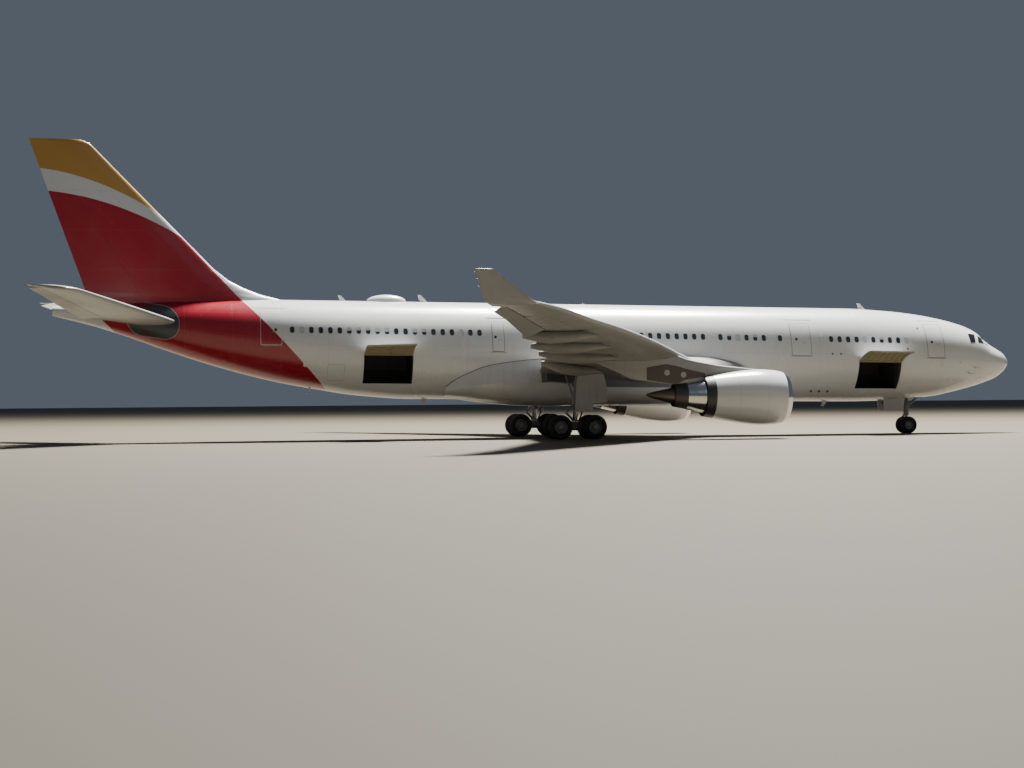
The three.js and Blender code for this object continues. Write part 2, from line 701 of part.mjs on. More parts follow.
const SPINNER = [[-0.72, 0], [-0.66, 0.1], [-0.3, 0.3], [0, 0.4], [0.22, 0.42], [0.22, 0]];
const fan = join(
  turnedInEngine(SPINNER, 12),
  ...Array.from({ length: FAN_BLADES }, (_, i) => (
    blade((2 * Math.PI * i) / FAN_BLADES, 0.03, [0.36, FAN_TIP], [0.45, 1.05], 0.34, 0.03)
  )),
);

// The core is one block from behind the fan to the tip of the exhaust plug, held in the duct by vanes.
const CORE_FRONT = 0.22 + SEAT_GAP;
const CORE_RADIUS = 0.85;
const CORE = [
  [CORE_FRONT, 0],
  [CORE_FRONT, 0.42],
  [0.8, 0.66],
  [1.6, 0.78],
  [2.3, CORE_RADIUS],
  [3.7, CORE_RADIUS],
  [4.1, 0.52],
  [5.0, 0.47],
  [6.0, 0.28],
  [6.75, 0.06],
  [6.81, 0],
];
const vaneTip = DUCT_RADIUS * Math.cos(Math.PI / AROUND_ENGINE) - SEAT_GAP;
const engineCore = join(
  turnedInEngine(CORE, 20),
  ...Array.from({ length: VANES }, (_, i) => (
    blade((2 * Math.PI * i) / VANES, VANE_STATION, [0.6, vaneTip], [0, 0], 0.42, 0.05)
  )),
);

const coreSeat = CORE_RADIUS + SEAT_GAP;
const coreCowl = turnedInEngine([
  [2.35, coreSeat], [2.75, 0.94], [3.5, 0.94], [3.9, 0.88], [4.58, 0.74],
  [4.58, 0.69], [3.9, 0.83], [3.72, coreSeat], [2.35, coreSeat],
].map(([aft, radius]) => [aft, radius / (radius === coreSeat ? Math.cos(Math.PI / AROUND_ENGINE) : 1)]));
const NOZZLE_FRONT = 4.58 + SEAT_GAP;
const exhaustNozzle = turnedInEngine([
  [NOZZLE_FRONT, 0.73], [4.95, 0.67], [5.28, 0.62], [5.28, 0.59], [4.95, 0.64],
  [NOZZLE_FRONT, 0.695], [NOZZLE_FRONT, 0.73],
]);
const coreFilled = turnedInEngine([
  [2.3, 0], [2.34, coreSeat], [2.75, 0.94 + SEAT_GAP], [3.5, 0.94 + 2 * SEAT_GAP], [3.9, 0.88 + 2 * SEAT_GAP],
  [4.58, 0.74 + 2 * SEAT_GAP], [4.95, 0.67 + 2 * SEAT_GAP], [5.28, 0.62 + 2 * SEAT_GAP], [5.31, 0],
]);

// Pylon from the cowl's crown over its rear edge to the wing. Columns: station, height.
const PYLON_OUTLINE = [
  [19.1, 3.7],
  [19.6, 3.84],
  [21.6, 4.06],
  [23.4, 4.4],
  [24.4, 4.7],
  [28.6, 4.7],
  [28.6, 4.2],
  [27.35, 3.65],
  [26.6, 3.3],
  [25.8, 3.18],
  [24.1, 3.02],
  [22.4, 3.0],
  [21.6, 3.3],
];
const PYLON_HALF_WIDTH = 0.24;
const pylon = cut(
  prism('side', PYLON_OUTLINE, -ENGINE_SIDE - PYLON_HALF_WIDTH, -ENGINE_SIDE + PYLON_HALF_WIDTH),
  cowlFilled,
  coreFilled,
  wingGrown,
);

// Landing gear

// One side of a wheel pair, from the middle of the axle out. Columns: radius, distance out from the
// wheel's own middle.
const wheelSide = (tyre, width, rim, axle, offset) => [
  [axle, offset - 0.62 * width / 2],
  [rim, offset - 0.86 * width / 2],
  [(rim + tyre) / 2, offset - width / 2],
  [tyre * 0.95, offset - 0.84 * width / 2],
  [tyre, offset - 0.5 * width / 2],
  [tyre, offset + 0.5 * width / 2],
  [tyre * 0.95, offset + 0.84 * width / 2],
  [(rim + tyre) / 2, offset + width / 2],
  [rim, offset + 0.86 * width / 2],
  [rim * 0.8, offset + 0.3 * width / 2],
  [axle * 1.3, offset + 0.34 * width / 2],
  [axle * 1.1, offset + 0.8 * width / 2],
  [0, offset + 0.8 * width / 2],
];

// Two wheels on one axle along Y; a facet is down, so that the pair stands on a flat.
function wheelPair(centre, tyreHeight, width, rim, axle, offset) {
  const tyre = tyreHeight / Math.cos(Math.PI / WHEEL_SIDES);
  const side = wheelSide(tyre, width, rim, axle, offset);
  const profile = [...side.map(([r, d]) => [r, -d]).reverse(), ...side];
  return turnedAboutY(profile, WHEEL_SIDES, centre);
}

const mainWheels = BOGIE_STATIONS.map((station) => wheelPair(
  point(station, -MAIN_GEAR_SIDE, MAIN_AXLE_HEIGHT),
  MAIN_AXLE_HEIGHT,
  0.53,
  0.36,
  AXLE_RADIUS,
  MAIN_WHEEL_OFFSET,
));

// The bogie beam carries both axles in bores, and a boss for the leg in its middle.
const BEAM_HALF_WIDTH = 0.17;
const BOSS_TOP = 1.0;
const bogie = (() => {
  const [front, rear] = BOGIE_STATIONS;
  const z = MAIN_AXLE_HEIGHT;
  const beam = prism('side', [
    [front - 0.2, z - 0.12], [front - 0.08, z - 0.2], [rear + 0.08, z - 0.2],
    [rear + 0.2, z - 0.12], [rear + 0.2, z + 0.12], [rear + 0.08, z + 0.2],
    [BOGIE_MIDDLE + 0.34, z + 0.2], [BOGIE_MIDDLE + 0.2, BOSS_TOP],
    [BOGIE_MIDDLE - 0.2, BOSS_TOP], [BOGIE_MIDDLE - 0.34, z + 0.2],
    [front + 0.08, z + 0.2], [front - 0.2, z + 0.12],
  ], -MAIN_GEAR_SIDE - BEAM_HALF_WIDTH, -MAIN_GEAR_SIDE + BEAM_HALF_WIDTH);
  const bores = BOGIE_STATIONS.map((station) => bar(
    point(station, -MAIN_GEAR_SIDE - 0.5, z),
    point(station, -MAIN_GEAR_SIDE + 0.5, z),
    boreFor(AXLE_RADIUS),
    BORE_SIDES,
  ));
  return cut(beam, ...bores);
})();

// The leg leans forward on a level foot: cylinder, piston, torque links behind, a drag stay forward and a
// side stay inward.
const legAft = (height) => (BOSS_TOP - height) * LEG_LEAN;
const mainLeg = (() => {
  const at = (aft, inward, height) => point(BOGIE_MIDDLE + aft, -MAIN_GEAR_SIDE + inward, height);
  const onLeg = (height) => at(legAft(height), 0, height);
  const leg = join(
    bar(onLeg(1.75), onLeg(4.2), LEG_RADIUS, 18),
    bar(onLeg(BOSS_TOP + 0.03), onLeg(2), 0.15, 16),
    bar(at(0, 0, BOSS_TOP + SEAT_GAP), at(0, 0, BOSS_TOP + 0.12), 0.16, 16),
    bar(onLeg(1.08), at(0.5, 0, 1.45), 0.055, 8),
    bar(at(0.5, 0, 1.45), onLeg(2), 0.055, 8),
    bar(onLeg(2.3), at(-1.7, 0.1, 4.2), 0.1, 10),
    bar(onLeg(2.5), at(legAft(3.7), 2.3, 3.7), 0.11, 10),
  );
  return cut(leg, wingGrown, bellyGrown, fuselageGrown);
})();

// The leg's door is a plate outboard of the leg, held to it by two links.
const LEG_DOOR_SIDE = -6.3;
const legDoor = (() => {
  const plate = prism('side', [
    [27.22, 2.9], [27.2, 2.08], [28.0, 2.0], [28.03, 1.55], [29.04, 1.56],
    [29.02, 2.06], [28.96, 3.1], [28.81, 3.68], [27.4, 3.68],
  ], LEG_DOOR_SIDE - 0.03, LEG_DOOR_SIDE + 0.03);
  const links = [2.35, 3.1].map((height) => (
    bar(
      point(BOGIE_MIDDLE + legAft(height), LEG_DOOR_SIDE, height),
      point(BOGIE_MIDDLE + legAft(height), -MAIN_GEAR_SIDE, height),
      0.05,
      8,
    )
  ));
  const legSpace = bar(
    point(BOGIE_MIDDLE + legAft(1), -MAIN_GEAR_SIDE, 1),
    point(BOGIE_MIDDLE + legAft(4), -MAIN_GEAR_SIDE, 4),
    LEG_RADIUS + SEAT_GAP,
    18,
  );
  return cut(join(plate, ...links), legSpace, wingGrown);
})();

const noseWheels = wheelPair(
  point(NOSE_GEAR_STATION, 0, NOSE_AXLE_HEIGHT),
  NOSE_AXLE_HEIGHT,
  0.37,
  0.25,
  NOSE_AXLE_RADIUS,
  NOSE_WHEEL_OFFSET,
);

const noseAt = (aft, side, height) => point(NOSE_GEAR_STATION + aft, side, height);

// The steered part: collar, piston and the axle's housing.
const noseFork = cut(
  join(
    bar(noseAt(0, 0, 1.08), noseAt(0, 0, STEERING_JOINT_HEIGHT), 0.17, 18),
    bar(noseAt(0, 0, 0.5), noseAt(0, 0, 1.15), 0.1, 14),
    block([NOSE_GEAR_STATION - 0.13, NOSE_GEAR_STATION + 0.13], [-0.12, 0.12], [0.39, 0.66]),
  ),
  bar(
    noseAt(0, -0.4, NOSE_AXLE_HEIGHT),
    noseAt(0, 0.4, NOSE_AXLE_HEIGHT),
    boreFor(NOSE_AXLE_RADIUS),
    BORE_SIDES,
  ),
);

// The fixed part: cylinder and a drag stay that runs forward to the belly.
const noseLeg = cut(
  join(
    bar(noseAt(0, 0, STEERING_JOINT_HEIGHT + SEAT_GAP), noseAt(0, 0, 2.6), 0.15, 18),
    bar(noseAt(0, 0, 1.55), noseAt(-1.0, 0, 2.45), 0.07, 8),
  ),
  fuselageGrown,
);

// Materials: colour, roughness, metalness
const FINISHES = {
  white: [0xf2f3f4, 0.35, 0],
  grey: [0xb9b7ae, 0.45, 0],
  red: [0x9c1b2c, 0.35, 0],
  cowl: [0xf2f3f4, 0.3, 0],
  bareMetal: [0xb9bcc0, 0.3, 0.9],
  darkMetal: [0x4a4a4d, 0.5, 0.8],
  fanMetal: [0x77797d, 0.35, 0.8],
  strut: [0xc9cbcc, 0.4, 0.2],
  tyre: [0x1d1d1f, 0.85, 0],
  glass: [0x1c2226, 0.1, 0],
};

const airliner = new THREE.Group();
airliner.scale.setScalar(MODEL_MM_PER_METRE);

function add(name, solid, finish, mirror = false) {
  const geometry = toGeometry(solid);
  if (mirror) {
    geometry.scale(1, -1, 1);
    geometry.setIndex([...geometry.index.array].reverse());
  }
  const [color, roughness, metalness] = FINISHES[finish];
  const mesh = new THREE.Mesh(geometry, new THREE.MeshStandardMaterial({ color, roughness, metalness }));
  mesh.name = name;
  airliner.add(mesh);
}

function addPair(name, solid, finish) {
  add(`${name}_right`, solid, finish);
  add(`${name}_left`, solid, finish, true);
}

add('radome', radome, 'white');
add('fuselage_front', fuselageFront, 'white');
add('fuselage_centre', fuselageCentre, 'white');
add('fuselage_rear', fuselageRear, 'white');
add('tail_cone', tailCone, 'white');
add('belly_fairing', bellyFairing, 'grey');
add('cockpit_glazing', glazing, 'glass');
add('antenna_dome', dome, 'white');
for (const door of cargoDoors) add(door.name, door.leaf, 'white');
add('fin', fin, 'red');
add('rudder', rudder, 'red');
addPair('tailplane', tailplane, 'grey');
addPair('elevator', elevator.piece, 'grey');
addPair('wing', wing, 'grey');
addPair('winglet', winglet, 'grey');
for (const { name, piece } of wingParts) addPair(name, piece, 'grey');
trackFairings.forEach((fairing, i) => addPair(`flap_track_fairing_${i + 1}`, fairing, 'grey'));
addPair('pylon', pylon, 'white');
addPair('fan_cowl', fanCowl, 'cowl');
addPair('fan', fan, 'fanMetal');
addPair('engine_core', engineCore, 'darkMetal');
addPair('core_cowl', coreCowl, 'bareMetal');
addPair('exhaust_nozzle', exhaustNozzle, 'darkMetal');
addPair('main_leg', mainLeg, 'strut');
addPair('bogie', bogie, 'strut');
addPair('main_wheels_front', mainWheels[0], 'tyre');
addPair('main_wheels_rear', mainWheels[1], 'tyre');
addPair('leg_door', legDoor, 'white');
add('nose_leg', noseLeg, 'strut');
add('nose_fork', noseFork, 'strut');
add('nose_wheels', noseWheels, 'tyre');

export default airliner;
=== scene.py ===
"""Wide body airliner on its gear, half size, dressed for the picture.

Places are worked out in metres of the real airliner: x runs forward from the nose, y to port, z up from the
ground. A station is a distance aft of the nose. Each piece is brought to the model's scale as it is made.
"""
import json
import bpy
import mathutils
import numpy as np
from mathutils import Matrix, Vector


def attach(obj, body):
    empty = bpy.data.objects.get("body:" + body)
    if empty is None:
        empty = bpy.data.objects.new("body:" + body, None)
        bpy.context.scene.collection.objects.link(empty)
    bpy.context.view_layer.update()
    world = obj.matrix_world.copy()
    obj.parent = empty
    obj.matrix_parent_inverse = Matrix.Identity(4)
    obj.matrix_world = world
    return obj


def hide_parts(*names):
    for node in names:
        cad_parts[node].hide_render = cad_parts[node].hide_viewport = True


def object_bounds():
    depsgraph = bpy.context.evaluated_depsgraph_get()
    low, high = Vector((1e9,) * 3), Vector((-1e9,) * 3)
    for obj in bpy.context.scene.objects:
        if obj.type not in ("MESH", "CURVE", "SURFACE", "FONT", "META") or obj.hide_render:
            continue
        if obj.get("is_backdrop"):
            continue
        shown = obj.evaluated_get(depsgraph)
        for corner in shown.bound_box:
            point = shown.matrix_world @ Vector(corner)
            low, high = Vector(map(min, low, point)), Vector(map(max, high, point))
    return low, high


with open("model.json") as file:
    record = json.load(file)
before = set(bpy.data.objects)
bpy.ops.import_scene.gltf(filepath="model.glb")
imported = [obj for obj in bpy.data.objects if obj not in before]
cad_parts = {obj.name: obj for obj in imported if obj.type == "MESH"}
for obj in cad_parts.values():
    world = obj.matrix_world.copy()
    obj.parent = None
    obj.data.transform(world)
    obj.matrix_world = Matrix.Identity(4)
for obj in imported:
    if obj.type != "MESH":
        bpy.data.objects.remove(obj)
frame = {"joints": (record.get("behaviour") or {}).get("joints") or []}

cad_low, cad_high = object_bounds()

# Fuselage skin
# The hull is aluminium sheet riveted to frames and stringers, in five sections butted end to end. It is
# painted gloss white, with a crimson field on the rear that runs down from the fin.
MODEL_SCALE = 0.5
NOSE_X = cad_high.x / MODEL_SCALE
AXIS_HEIGHT, AXIS_STATION, AXIS_SLOPE = 5.0046, 25.0, 0.0132
AROUND_HULL, BARREL_RADIUS = 144, 2.82
KEEL = -np.pi / 2
# Sections that start ahead of this station have their rows closer together towards the nose.
BLUNT_END = 5
# A place on the panels map that lies on none of its joints.
OFF_JOINTS = 0.37

# Columns: station, top, bottom, widest line, half width; heights are over the fuselage axis.
HULL = [
    [0, -0.28, -0.44, -0.36, 0.08],
    [0.14, -0.02, -0.72, -0.36, 0.38],
    [0.4, 0.24, -0.99, -0.36, 0.7],
    [1.0, 0.58, -1.38, -0.34, 1.12],
    [1.6, 0.94, -1.6, -0.31, 1.42],
    [2.1, 1.4, -1.77, -0.29, 1.64],
    [2.7, 1.74, -1.94, -0.26, 1.83],
    [3.7, 2.06, -2.19, -0.2, 2.12],
    [5.0, 2.34, -2.46, -0.13, 2.39],
    [6.4, 2.55, -2.61, -0.07, 2.6],
    [8.0, 2.7, -2.74, 0, 2.74],
    [10.8, 2.82, -2.82, 0, 2.82],
    [37.4, 2.82, -2.82, 0, 2.82],
    [40.6, 2.82, -2.62, 0.1, 2.77],
    [43.0, 2.82, -2.27, 0.27, 2.65],
    [45.0, 2.82, -1.92, 0.45, 2.45],
    [47.2, 2.77, -1.4, 0.68, 2.14],
    [49.4, 2.7, -0.78, 0.96, 1.81],
    [51.5, 2.6, -0.09, 1.25, 1.46],
    [53.6, 2.49, 0.64, 1.56, 1.12],
    [55.5, 2.38, 1.22, 1.8, 0.76],
    [57.6, 2.25, 1.73, 1.99, 0.26],
]


def smooth(table, at):
    """Columns of a table at new values of its first column. Between two rows it is a cubic whose slope at a
    row is the harmonic mean of the straight slopes beside it, or nothing where they turn."""
    table, at = np.asarray(table, float), np.asarray(at, float)
    knots, columns = table[:, 0], table[:, 1:]
    steps = np.diff(knots)
    straight = np.diff(columns, axis=0) / steps[:, None]
    product, total = straight[:-1] * straight[1:], straight[:-1] + straight[1:]
    same = product > 0
    inner = np.where(same, 2 * product / np.where(same, total, 1), 0)
    slopes = np.concatenate([straight[:1], inner, straight[-1:]])
    at = np.clip(at, knots[0], knots[-1])
    row = np.clip(np.searchsorted(knots, at, "right") - 1, 0, len(knots) - 2)
    step = steps[row][..., None]
    t = ((at - knots[row]) / steps[row])[..., None]
    value = columns[row] * (1 + 2 * t) * (1 - t) ** 2 + columns[row + 1] * t * t * (3 - 2 * t)
    value = value + step * t * (1 - t) * (slopes[row] * (1 - t) - slopes[row + 1] * t)
    return np.moveaxis(value, -1, 0)


def turns(count):
    """Angles at even steps, once round."""
    return 2 * np.pi * np.arange(count) / count


def point(station, side, height):
    """Points at a station, a distance to port and a height."""
    return np.stack(np.broadcast_arrays(-np.asarray(station, float), side, height), -1)


def paired(first, second):
    """Two sets of values side by side, as the two coordinates of one map."""
    return np.stack(np.broadcast_arrays(first, second), -1)


def axis_height(station):
    """Height of the fuselage axis, which climbs towards the tail."""
    return AXIS_HEIGHT + AXIS_SLOPE * (np.asarray(station) - AXIS_STATION)


def hull_section(station):
    """Top, bottom, widest line and half width, read over the root of the station, as the nose is blunt."""
    rows = np.array(HULL)
    rows[:, 0] = np.sqrt(rows[:, 0])
    return smooth(rows, np.sqrt(station))


def hull(station, angle, proud=0.0):
    """Points of the skin: an upper and a lower half ellipse that meet at the widest line. The angle runs from
    port over the crown to starboard, and proud lifts the point off the skin."""
    top, bottom, widest, half = hull_section(station)
    up = np.sin(angle)
    reach = np.where(up > 0, top - widest, widest - bottom) + proud
    return point(station, (half + proud) * np.cos(angle), axis_height(station) + widest + reach * up)


def hull_angle(station, over):
    """The angle of the starboard skin at a height over the axis."""
    top, bottom, widest, _ = hull_section(station)
    reach = np.where(over > widest, top - widest, widest - bottom)
    return np.pi - np.arcsin(np.clip((over - widest) / reach, -1, 1))


def hull_side(hand):
    """The skin of one side as a map from station and height over the axis; hand is -1 to starboard."""
    return lambda station, over, proud=0.0: hull(station, hull_angle(station, over), proud) * [1, -hand, 1]


def sheet(points, around=False, closed=False, ends="", facing=1, keep=None, uv=None, slot=0, marks=None):
    """Quads over a grid of points, rows by columns. around joins the last column to the first, closed the
    last row to the first, ends closes the first (a) or last (b) row with a fan, keep drops cells. facing is
    1 for outwards from the middles of the rows, -1 for inwards, or a direction. slot picks the piece's
    material, for all cells or for each row of them."""
    rows, columns = points.shape[:2]
    index = np.arange(rows * columns).reshape(rows, columns)
    if around:
        index = np.concatenate([index, index[:, :1]], 1)
    if closed:
        index = np.concatenate([index, index[:1]])
    uv = np.full(index.shape + (2,), OFF_JOINTS) if uv is None else uv
    corner = lambda grid: np.stack([grid[:-1, :-1], grid[:-1, 1:], grid[1:, 1:], grid[1:, :-1]], 2)
    cells, places = corner(index), corner(uv)
    flat = points.reshape(-1, 3)
    a, b, c, d = np.moveaxis(flat[cells], 2, 0)
    normal = np.cross(c - a, d - b)
    middles = points.mean(1)[np.arange(rows + closed) % rows]
    outward = (a + b + c + d) / 4 - (middles[:-1] + middles[1:])[:, None] / 2
    turn = (normal * outward).sum() * facing if np.isscalar(facing) else (normal * facing).sum()
    keep = np.ones(cells.shape[:2], bool) if keep is None else keep
    slots = np.broadcast_to(slot, cells.shape[:2])
    faces = [(cells[keep], places[keep], slots[keep])]
    for row, order in ((0, "a"), (rows - 1, "b")):
        if order in ends:
            ring = index[row]
            hub = np.full(len(ring) - 1, len(flat))
            pair = (ring[1:], ring[:-1]) if order == "a" else (ring[:-1], ring[1:])
            fan = np.stack([*pair, hub], 1)
            faces.append((fan, np.zeros(fan.shape + (2,)),
                          np.full(len(fan), slots[0 if order == "a" else -1, 0])))
            flat = np.concatenate([flat, points[row].mean(0, keepdims=True)])
    if turn < 0:
        faces = [(cell[:, ::-1], place[:, ::-1], kind) for cell, place, kind in faces]
    spare = len(flat) - rows * columns
    marks = {name: np.append(np.ravel(value), np.zeros(spare)) for name, value in (marks or {}).items()}
    return {"points": flat, "faces": faces, "marks": marks}


def turned(points, origin, axis, degrees):
    """Points turned about a line, by the sum of their part along it, their part across it and its cross."""
    axis = np.asarray(axis, float) / np.linalg.norm(axis)
    angle, arm = np.radians(degrees), np.asarray(points) - origin
    along = (arm @ axis)[..., None] * axis
    return origin + along + (arm - along) * np.cos(angle) + np.cross(axis, arm) * np.sin(angle)


def piece(name, sheets, materials, stands_for=None, body="airframe", crease=35,
          swing=None):
    """One object from sheets, for a node and on a body of the frame. swing turns it, at the model's scale,
    about a line given as place, direction and degrees."""
    points = np.concatenate([part["points"] for part in sheets])
    starts = np.cumsum([0] + [len(part["points"]) for part in sheets[:-1]])
    faces = [(cells + start, places, kinds)
             for part, start in zip(sheets, starts) for cells, places, kinds in part["faces"]]
    sizes = np.concatenate([np.full(len(cells), cells.shape[1]) for cells, _, _ in faces])
    model = (points + [NOSE_X, 0, 0]) * MODEL_SCALE
    if swing is not None:
        model = turned(model, *swing)
    mesh = bpy.data.meshes.new(name)
    mesh.vertices.add(len(model))
    mesh.vertices.foreach_set("co", model.ravel())
    mesh.loops.add(int(sizes.sum()))
    mesh.loops.foreach_set("vertex_index", np.concatenate([cells.ravel() for cells, _, _ in faces]))
    mesh.polygons.add(len(sizes))
    mesh.polygons.foreach_set("loop_start", np.cumsum(sizes) - sizes)
    mesh.polygons.foreach_set("material_index",
                              np.concatenate([kinds for _, _, kinds in faces]).astype(np.int32))
    layer = mesh.uv_layers.new(name="panels")
    layer.data.foreach_set("uv", np.concatenate([places.ravel() for _, places, _ in faces]))
    for mark in sorted({mark for part in sheets for mark in part["marks"]}):
        values = [part["marks"].get(mark, np.zeros(len(part["points"]))) for part in sheets]
        mesh.attributes.new(mark, "FLOAT", "POINT").data.foreach_set("value", np.concatenate(values))
    mesh.update(calc_edges=True)
    mesh.validate()
    mesh.shade_smooth()
    mesh.set_sharp_from_angle(angle=np.radians(crease))
    for material in materials:
        mesh.materials.append(material)
    thing = bpy.data.objects.new(name, mesh)
    bpy.context.scene.collection.objects.link(thing)
    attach(thing, body)
    if stands_for:
        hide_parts(stands_for)
    return thing


def effect(name, inputs, outputs):
    """A shader group with named inputs, given with their values, and named outputs, and its two end nodes."""
    group = bpy.data.node_groups.new(name, "ShaderNodeTree")
    kinds = {float: "NodeSocketFloat", tuple: "NodeSocketColor"}
    for title, value in inputs.items():
        socket = group.interface.new_socket(title, in_out="INPUT", socket_type=kinds[type(value)])
        socket.default_value = value
    for title, kind in outputs.items():
        group.interface.new_socket(title, in_out="OUTPUT", socket_type=kinds[kind])
    return group, group.nodes.new("NodeGroupInput").outputs, group.nodes.new("NodeGroupOutput").inputs


def calc(tree, operation, *terms):
    """One Math node. A term is a number or another node's output."""
    node = tree.nodes.new("ShaderNodeMath")
    node.operation = operation
    for socket, term in zip(node.inputs, terms):
        if isinstance(term, bpy.types.NodeSocket):
            tree.links.new(term, socket)
        else:
            socket.default_value = term
    return node.outputs[0]


def between(tree, value, low, high):
    """A value eased from 0 to 1 as it goes from low to high."""
    node = tree.nodes.new("ShaderNodeMapRange")
    node.interpolation_type = "SMOOTHSTEP"
    tree.links.new(value, node.inputs["Value"])
    node.inputs["From Min"].default_value, node.inputs["From Max"].default_value = low, high
    return node.outputs["Result"]


def mixed(tree, share, one, other):
    """A colour mixed from two by a share. A colour is three numbers or another node's output."""
    node = tree.nodes.new("ShaderNodeMix")
    node.data_type = "RGBA"
    share_socket, one_socket, other_socket = node.inputs[0], node.inputs[6], node.inputs[7]
    tree.links.new(share, share_socket)
    for socket, colour in ((one_socket, one), (other_socket, other)):
        if isinstance(colour, bpy.types.NodeSocket):
            tree.links.new(colour, socket)
        else:
            socket.default_value = (*colour, 1)
    return node.outputs[2]


def noise(tree, scale, detail, stretch=(1, 1, 1)):
    """Noise over the piece's own coordinates, stretched along each axis."""
    place = tree.nodes.new("ShaderNodeTexCoord").outputs["Object"]
    mapping = tree.nodes.new("ShaderNodeMapping")
    mapping.inputs["Scale"].default_value = stretch
    tree.links.new(place, mapping.inputs["Vector"])
    node = tree.nodes.new("ShaderNodeTexNoise")
    node.inputs["Scale"].default_value = scale
    node.inputs["Detail"].default_value = detail
    tree.links.new(mapping.outputs["Vector"], node.inputs["Vector"])
    return node.outputs["Fac"]


# Weather marks: broad blotches and thin runs of grime down the sides, which also dull the gloss.
weathering, given, result = effect(
    "weathering",
    {"Paint": (1, 1, 1, 1), "Grime": (0.2, 0.18, 0.15, 1), "Amount": 0.2, "Roughness": 0.3, "Grain": 0.02},
    {"Colour": tuple, "Roughness": float, "Height": float},
)
blotches = between(weathering, noise(weathering, 0.7, 5.0), 0.45, 0.72)
runs = between(weathering, noise(weathering, 1.0, 4.0, (7, 7, 0.5)), 0.5, 0.8)
soiled = calc(weathering, "ADD", calc(weathering, "MULTIPLY", blotches, 0.55),
              calc(weathering, "MULTIPLY", runs, 0.45))
soiled = calc(weathering, "MULTIPLY", soiled, given["Amount"])
weathering.links.new(mixed(weathering, soiled, given["Paint"], given["Grime"]), result["Colour"])
dulled = calc(weathering, "ADD", given["Roughness"], calc(weathering, "MULTIPLY", soiled, 0.5))
weathering.links.new(dulled, result["Roughness"])
weathering.links.new(calc(weathering, "MULTIPLY", noise(weathering, 90.0, 2.0), given["Grain"]),
                     result["Height"])

# Panel joints: lines at even steps along and across the piece's panels map, which is in metres.
joints, given, result = effect(
    "panel_joints", {"Along": 2.65, "Across": 1.9, "Width": 0.012}, {"Mask": float}
)
panels_map = joints.nodes.new("ShaderNodeUVMap")
panels_map.uv_map = "panels"
split = joints.nodes.new("ShaderNodeSeparateXYZ")
joints.links.new(panels_map.outputs["UV"], split.inputs["Vector"])


def joint_line(position, step):
    """1 on lines at every step, by the distance back and forth between half steps."""
    half = calc(joints, "MULTIPLY", step, 0.5)
    away = calc(joints, "PINGPONG", position, half)
    return calc(joints, "LESS_THAN", away, calc(joints, "MULTIPLY", given["Width"], 0.5))


lines = calc(joints, "MAXIMUM", joint_line(split.outputs["X"], given["Along"]),
             joint_line(split.outputs["Y"], given["Across"]))
joints.links.new(lines, result["Mask"])


def finish(name, colour, roughness=0.3, metallic=0.0, coat=0.0, grime=(0.2, 0.18, 0.15), amount=0.25,
           grain=0.02, along=None, across=1.9, line=0.012, paint=None):
    """A finish with weather marks, and panel joints where along gives their step. paint, a function of the
    material's tree, puts a pattern in place of the plain colour."""
    material = bpy.data.materials.new(name)
    material.use_nodes = True
    tree = material.node_tree
    shader = tree.nodes["Principled BSDF"]
    shader.inputs["Metallic"].default_value = metallic
    shader.inputs["Coat Weight"].default_value = coat
    wear = tree.nodes.new("ShaderNodeGroup")
    wear.node_tree = weathering
    wear.inputs["Paint"].default_value = (*colour, 1)
    wear.inputs["Grime"].default_value = (*grime, 1)
    wear.inputs["Amount"].default_value = amount
    wear.inputs["Roughness"].default_value = roughness
    wear.inputs["Grain"].default_value = grain
    if paint:
        tree.links.new(paint(tree), wear.inputs["Paint"])
    colour_out, height = wear.outputs["Colour"], wear.outputs["Height"]
    if along:
        seams = tree.nodes.new("ShaderNodeGroup")
        seams.node_tree = joints
        for title, value in (("Along", along), ("Across", across), ("Width", line)):
            seams.inputs[title].default_value = value
        mask = calc(tree, "MULTIPLY", seams.outputs["Mask"], 0.35)
        colour_out = mixed(tree, mask, colour_out, grime)
        height = calc(tree, "SUBTRACT", height, calc(tree, "MULTIPLY", seams.outputs["Mask"], 0.6))
    bump = tree.nodes.new("ShaderNodeBump")
    bump.inputs["Strength"].default_value = 0.25
    bump.inputs["Distance"].default_value = 0.004
    tree.links.new(colour_out, shader.inputs["Base Color"])
    tree.links.new(wear.outputs["Roughness"], shader.inputs["Roughness"])
    tree.links.new(height, bump.inputs["Height"])
    tree.links.new(bump.outputs["Normal"], shader.inputs["Normal"])
    return material


WHITE = (0.63, 0.645, 0.65)
CRIMSON = (0.3, 0.008, 0.022)
GOLD = (0.42, 0.235, 0.05)
PALE = (0.55, 0.57, 0.6)
hull_white = finish("hull_white", WHITE, 0.26, coat=0.35, amount=0.12, along=2.65)


def mark(tree, name):
    """A value that the piece's own mesh carries."""
    node = tree.nodes.new("ShaderNodeAttribute")
    node.attribute_name = name
    return node.outputs["Fac"]


def livery(tree):
    """Crimson where the mark says so, gold where its own mark says so, and the white or pale ground
    elsewhere. A mark is a distance from the field's edge, more than nothing inside."""
    inside = lambda name: between(tree, mark(tree, name), -0.006, 0.006)
    ground = mixed(tree, inside("pale_edge"), WHITE, PALE)
    return mixed(tree, inside("gold_edge"), mixed(tree, inside("crimson_edge"), ground, CRIMSON), GOLD)


hull_livery = finish("hull_livery", WHITE, 0.26, coat=0.35, amount=0.12, along=2.65, paint=livery)

# The crimson field starts at a straight line that leans aft from the belly to the fin, and ends ahead of the
# white tail cone.
CRIMSON_START, CRIMSON_LEAN = 44.55, 0.935
CRIMSON_END, CRIMSON_END_LEAN = 53.3, 1.05


def crimson_edge(station, over):
    """Distance inside the crimson field, in metres, by the nearer of its two edges."""
    start = station - CRIMSON_START - CRIMSON_LEAN * over
    end = CRIMSON_END + CRIMSON_END_LEAN * over - station
    return np.minimum(start, end)


